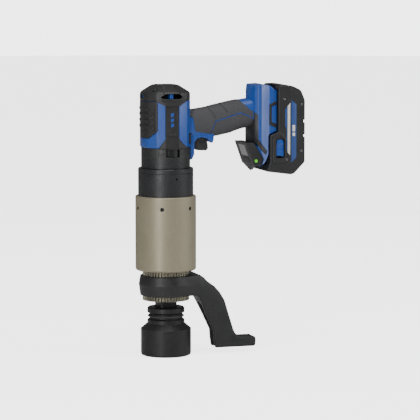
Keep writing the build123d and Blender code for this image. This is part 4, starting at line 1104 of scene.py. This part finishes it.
@dataclass
class Controls:
    """Trigger, direction lever and the marks round the speed selector."""

    trigger_half_width: float = 7.6
    nose_radius: float = 35.5

    def trigger(self) -> Piece:
        """Return the trigger, hollowed for the finger and with a lip at its end."""
        outline = [
            (40.7, 21), (40.7, -2, 3), (46, -6, 4), (59.6, -6.5, 2), (62.3, -3, 2), (61.6, 3, 3),
            (59.2, 12, 3),
            (59.2, 21)]
        body = plate(
            "trigger_lever", outline, -self.trigger_half_width, self.trigger_half_width, rim=1.8, steps=4)
        dish = turned("trigger_dish", [(3.0, -7.9), (3.0, -7.2), (2.4, -7.1)], Lie.SIDE, (51, 8), 32)
        return combined(body, Join.CUT, dish)

    def lever(self) -> Piece:
        """Return the direction lever with a ridged button at each end."""
        bar = plate("direction_lever", oblong(29.3, 5, 33.7, 19.3, 1.2), -14.6, 14.6, rim=0.6)
        ends = []
        for rise in (8.4, 15.9):
            ends.append(plate("lever_pip", oblong(29.6, rise - 2.4, 33.4, rise + 2.4, 1),
                              -15.6, 15.6, rim=0.9))
        return combined(bar, Join.ADD, *ends)

    def nose_bar(self, start: float, end: float, rise: float, height: float) -> Piece:
        """Bar that stands a little proud of the nose, along its curve.

        Args:
            start: Angle of one end, in degrees from the near side.
            end: Angle of the other end.
            rise: Middle of the bar.
            height: Height of the bar.

        Returns:
            The bar.
        """
        outer, inner = self.nose_radius + 0.9, self.nose_radius - 1.0
        count = 8
        angles = [math.radians(-90 + start + (end - start) * i / count) for i in range(count + 1)]
        outline = [(outer * math.cos(a), outer * math.sin(a)) for a in angles]
        outline += [(inner * math.cos(a), inner * math.sin(a)) for a in reversed(angles)]
        level = HEAD_LOW + rise
        return plate("nose_bar", outline, level - height / 2, level + height / 2, Lie.PLAN, 0.35, 2)

    def build(self) -> None:
        """Make the controls and set them on their bodies."""
        finished(self.trigger(), BLACK, "trigger", "black_plastic", "trigger")
        finished(self.lever(), BLACK, "direction_shuttle", "black_plastic", "direction_shuttle")
        bars = [
            self.nose_bar(-33, -21, -8.5, 1.8), self.nose_bar(24, 38, -7.8, 1.8),
            self.nose_bar(-33, 38, -1.0, 1.2),
                self.nose_bar(
                    60, 120, -4, 1.2), self.nose_bar(150, 210, -4, 1.2), self.nose_bar(-33, -31, -4, 7),
                self.nose_bar(36, 38, -4, 7)]
        finished(gathered("nose_bars", *bars), BLACK, "head", "black_plastic")


# ------------------------------------------------------------------ battery
@dataclass
class Battery:
    """Slide-on battery: two shells, latch hoods and buttons, and plain two-colour labels."""

    half_width: float = 37.0
    parting: float = 178.0
    outline: Outline = field(default_factory=lambda: [
        (159.4, 84.6, 3), (159.4, 20.2, 2), (147.0, 15, 2), (147.0, -24, 4), (141.8, -37, 1.5),
        (179, -42, 3),
        (184, -40.4, 3), (200, -24, 5), (200, 66, 10), (194, 80.5, 8), (180, 87.4, 20), (163, 87.4, 3)])
    latch: Outline = field(default_factory=lambda: [
        (156.4, -16.6, 2), (161, -13.4, 4), (167.6, -16.6, 2), (167.6, 3, 5), (166.4, 9.1, 2),
        (157.6, 9.1, 2), (156.4, 3, 5)])
    screw_spots: Outline = field(default_factory=lambda: [(168.8, 67.8), (172.4, -19.7), (195.2, 59.5),
    (194.7, -7.5)])

    def shell(self) -> Piece:
        """Return the whole battery block with its rims rounded and its rail slots cut."""
        shell = plate("battery_shell", self.outline, -self.half_width, self.half_width, rim=3.2, steps=4)
        neck = plate("rail_neck_room", oblong(158, 23.5, 162.1, 95), -19.3, 19.3)
        head = plate("rail_head_room", oblong(162.1, 23.5, 166.2, 95), -23.3, 23.3)
        pocket = plate(
            "latch_room", [(155.6, -17.4, 2), (168.4, -17.4, 2), (168.4, 9.9, 3), (155.6, 9.9, 3)], -60,
            -self.half_width + 8.8)
        notches = []
        for rise in (35.5, 14.5):
            notches.append(
                plate("edge_notch",
                [(197.4, rise - 1.6), (203, rise - 3), (203, rise + 3), (197.4, rise + 1.6)], -60, 60,
                rim=0.5))
        wells = [
            turned("screw_well",
            [(2.5, -40), (2.5, -self.half_width + 0.9), (2.0, -self.half_width + 1.9)], Lie.SIDE, spot,
            28)
                 for spot in self.screw_spots]
        near = [pocket, *wells]
        tools = near + [mirrored(tool, tool.name + "_far") for tool in near]
        return combined(shell, Join.CUT, neck, head, *notches, *tools)

    def half_shell(self, shell: Piece, name: str, keep_front: bool) -> Piece:
        """One side of the parting line, with its cut edge softened.

        Args:
            shell: The whole shell.
            name: Name of the piece.
            keep_front: Whether the side towards the handle is kept.

        Returns:
            The half.
        """
        half = copied(shell, name)
        take(half)
        bpy.ops.object.mode_set(mode="EDIT")
        bpy.ops.mesh.select_all(action="SELECT")
        bpy.ops.mesh.bisect(plane_co=(self.parting, 0, 0), plane_no=(1, 0, 0), use_fill=True,
                            clear_outer=keep_front, clear_inner=not keep_front)
        bpy.ops.object.mode_set(mode="OBJECT")
        return bevelled(half, 0.55, 2, 62)

    def hood(self) -> Piece:
        """Return the arched hood round the near latch button."""
        outer = [
            (150.6, -25, 2), (170.6, -25, 2), (170.6, 10, 6), (166, 20.2, 6), (157, 20.2, 6),
            (150.6, 13, 5)]
        hood = plate("latch_hood", outer, -self.half_width - 1.3, -self.half_width + 2, rim=1.6, steps=4)
        inner = [
            (155.6, -17.4, 2), (168.4, -17.4, 2), (168.4, 8, 3), (165.4, 14, 4), (158.6, 14, 4),
            (155.6, 8, 3)]
        return combined(hood, Join.CUT, plate("hood_mouth", inner, -50, -20, rim=0.8))

    def button(self) -> Piece:
        """Return the near latch button, waisted and dished for a finger."""
        button = plate(
            "latch_button", self.latch, -self.half_width + 0.3, -self.half_width + 4.4, rim=1.2, steps=4)
        dish = swept(
            "latch_dish", [[Vector((x, -self.half_width - 13.9 + 15.2 * math.sin(a),
            HEAD_LOW - 3 + 15.2 * math.cos(a)))
                                     for a in (math.tau * i / 64 for i in range(64))] for x in (150, 175)])
        return combined(button, Join.CUT, dish)

    def label(self, name: str, outline: Outline) -> Piece:
        """Return a thin label on the near side, its edges just softened."""
        return plate(name, outline, -self.half_width - 0.25, -self.half_width + 0.2, rim=0.12, steps=2)

    def build(self) -> None:
        """Make the battery and set it on its body."""
        shell = self.shell()
        base = self.half_shell(shell, "battery_base_shell", True)
        cover = self.half_shell(shell, "battery_cover_shell", False)
        bpy.data.objects.remove(shell)
        finished(base, BLACK, "battery", "black_plastic", "battery_base")
        finished(cover, BLACK, "battery", "black_plastic", "battery_cover")
        finished(both_sides(self.hood()), BLACK, "battery", "black_plastic")
        button = self.button()
        far_button = mirrored(button, "latch_button_far")
        finished(button, BLUE, "latch_near", "blue_plastic", "latch_near")
        finished(far_button, BLUE, "latch_far", "blue_plastic", "latch_far")
        cover_label = self.label("label_cover", [(178.9, 66.2), (186.6, 60), (186.6, -17), (178.9, -24.6)])
        base_label = self.label(
            "label_base", [(169.4, 53), (172.9, 57.4), (172.9, -8.4), (171.4, -6), (171.4, 26),
            (169.4, 28.6)])
        stripe = self.label("label_stripe", [(173.3, 57.8), (177.1, 62.2), (177.1, -14), (173.3, -9.4)])
        marks = [self.label("label_mark", oblong(180.6, low, 184.6, low + length))
                 for low, length in ((14, 5), (21, 9))]
        for mark in marks:
            mark.data.transform(Matrix.Translation((0, -0.15, 0)))
        finished(
            both_sides(gathered("label_blue", cover_label, base_label)), LABEL_BLUE, "battery",
            "blue_plastic")
        finished(both_sides(gathered("label_pale", stripe, *marks)), LABEL_PALE, "battery", "black_plastic")


# ------------------------------------------------------------------ frame pieces that stay
CARRIED_OVER: dict[str, Finish] = {
    "gear_housing": CHAMPAGNE, "drive_shaft": BLACK_STEEL, "coupling_collar": BLACK_ANODISED,
    "swivel_ring": BLACK_ANODISED, "nose_sleeve": BLACK_ANODISED, "gear_case": BLACK,
    "reaction_hub": BRIGHT_STEEL, "impact_socket": BLACK_STEEL,
    "housing_lock_screws": DARK_SCREW, "collar_set_screws": DARK_SCREW, "case_screws": SCREW,
    "battery_screws": SCREW, "shaft_seal": SEAL, "retaining_ring": SEAL, "output_bush": BRONZE,
    "swivel_bush": BRONZE, "input_bush": BRONZE, "motor_stator": IRON, "control_board": BOARD,
    "display_window": GLASS, "display_case": BLACK, "display_key": RUBBER, "status_lamp": LAMP,
    "terminal_block": COPPER, "battery_cells": CELL_WRAP, "gear_selector": BLACK, "switch_module": BLACK,
    "cooling_fan": BLACK}


def dress_frame() -> None:
    """Give every frame piece its finish; what isn't listed is ground steel."""
    for name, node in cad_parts.items():
        CARRIED_OVER.get(name, GEAR_STEEL).dress(node)
        LOG.info("%s: frame piece dressed", name)


# ------------------------------------------------------------------ studio
@dataclass
class Studio:
    """Pale floor, soft lights and the camera."""

    aim: tuple[float, float, float] = (0.067, 0.0, 0.209)
    distance: float = 3.75
    azimuth: float = -17.0
    elevation: float = 6.2
    lens: float = 221.0
    backdrop_strength: float = 4.2
    fill_strength: float = 0.22

    def direction(self, azimuth: float, elevation: float) -> Vector:
        """Return the unit direction from the aim point at two angles, in degrees."""
        turn, rise = math.radians(azimuth), math.radians(elevation)
        return Vector((math.sin(turn) * math.cos(rise), -math.cos(turn) * math.cos(rise), math.sin(rise)))

    def light(self, name: str, azimuth: float, elevation: float, away: float, size: tuple[float, float],
              power: float) -> None:
        """Add a soft rectangular light that faces the tool.

        Args:
            name: Name of the light.
            azimuth: Its direction in plan, in degrees.
            elevation: Its height angle.
            away: Its distance in metres.
            size: Its width and height.
            power: Its power in watts.
        """
        towards = self.direction(azimuth, elevation)
        bpy.ops.object.light_add(type="AREA", location=Vector(self.aim) + towards * away)
        lamp = bpy.context.object
        lamp.name = name
        lamp.rotation_euler = towards.to_track_quat("Z", "Y").to_euler()
        lamp.data.shape = "RECTANGLE"
        lamp.data.size, lamp.data.size_y = size
        lamp.data.energy = power

    def build(self) -> None:
        """Set up camera, floor, sky and lights."""
        bpy.ops.object.camera_add(
            location=Vector(self.aim) + self.direction(self.azimuth, self.elevation) * self.distance)
        camera = bpy.context.object
        camera.rotation_euler = self.direction(
            self.azimuth, self.elevation).to_track_quat("Z", "Y").to_euler()
        camera.data.lens = self.lens
        camera.data.sensor_width = 36.0
        camera.data.clip_end = 50.0
        bpy.context.scene.camera = camera
        clear_selection()
        bpy.ops.mesh.primitive_circle_add(
            vertices=96, radius=9.0, fill_type="NGON", location=(0, 0, -0.0005))
        floor = bpy.context.object
        floor.name = "studio_floor"
        PALE_FLOOR.dress(floor)
        world = bpy.data.worlds.new("studio_sky")
        bpy.context.scene.world = world
        world.use_nodes = True
        nodes, links = world.node_tree.nodes, world.node_tree.links
        backdrop, fill = nodes["Background"], nodes.new("ShaderNodeBackground")
        backdrop.inputs["Strength"].default_value = self.backdrop_strength
        fill.inputs["Strength"].default_value = self.fill_strength
        for sky in (backdrop, fill):
            sky.inputs["Color"].default_value = (1.0, 1.0, 1.0, 1.0)
        seen, choice = nodes.new("ShaderNodeLightPath"), nodes.new("ShaderNodeMixShader")
        links.new(seen.outputs["Is Camera Ray"], choice.inputs["Fac"])
        links.new(fill.outputs["Background"], choice.inputs[1])
        links.new(backdrop.outputs["Background"], choice.inputs[2])
        links.new(choice.outputs["Shader"], nodes["World Output"].inputs["Surface"])
        self.light("key_strip", -42, 14, 1.9, (0.22, 1.3), 22)
        self.light("right_panel", 62, 22, 2.2, (0.9, 1.4), 22)
        self.light("top_panel", -10, 72, 2.2, (1.4, 1.4), 34)


def main() -> None:
    """Build every sub-assembly in order, then the studio."""
    logging.basicConfig(level=logging.INFO, format="%(message)s")
    dress_frame()
    ReactionArm().build()
    head = PowerHead().build()
    Handle().build(head)
    Controls().build()
    Battery().build()
    Studio().build()


if __name__ == "__main__":
    main()
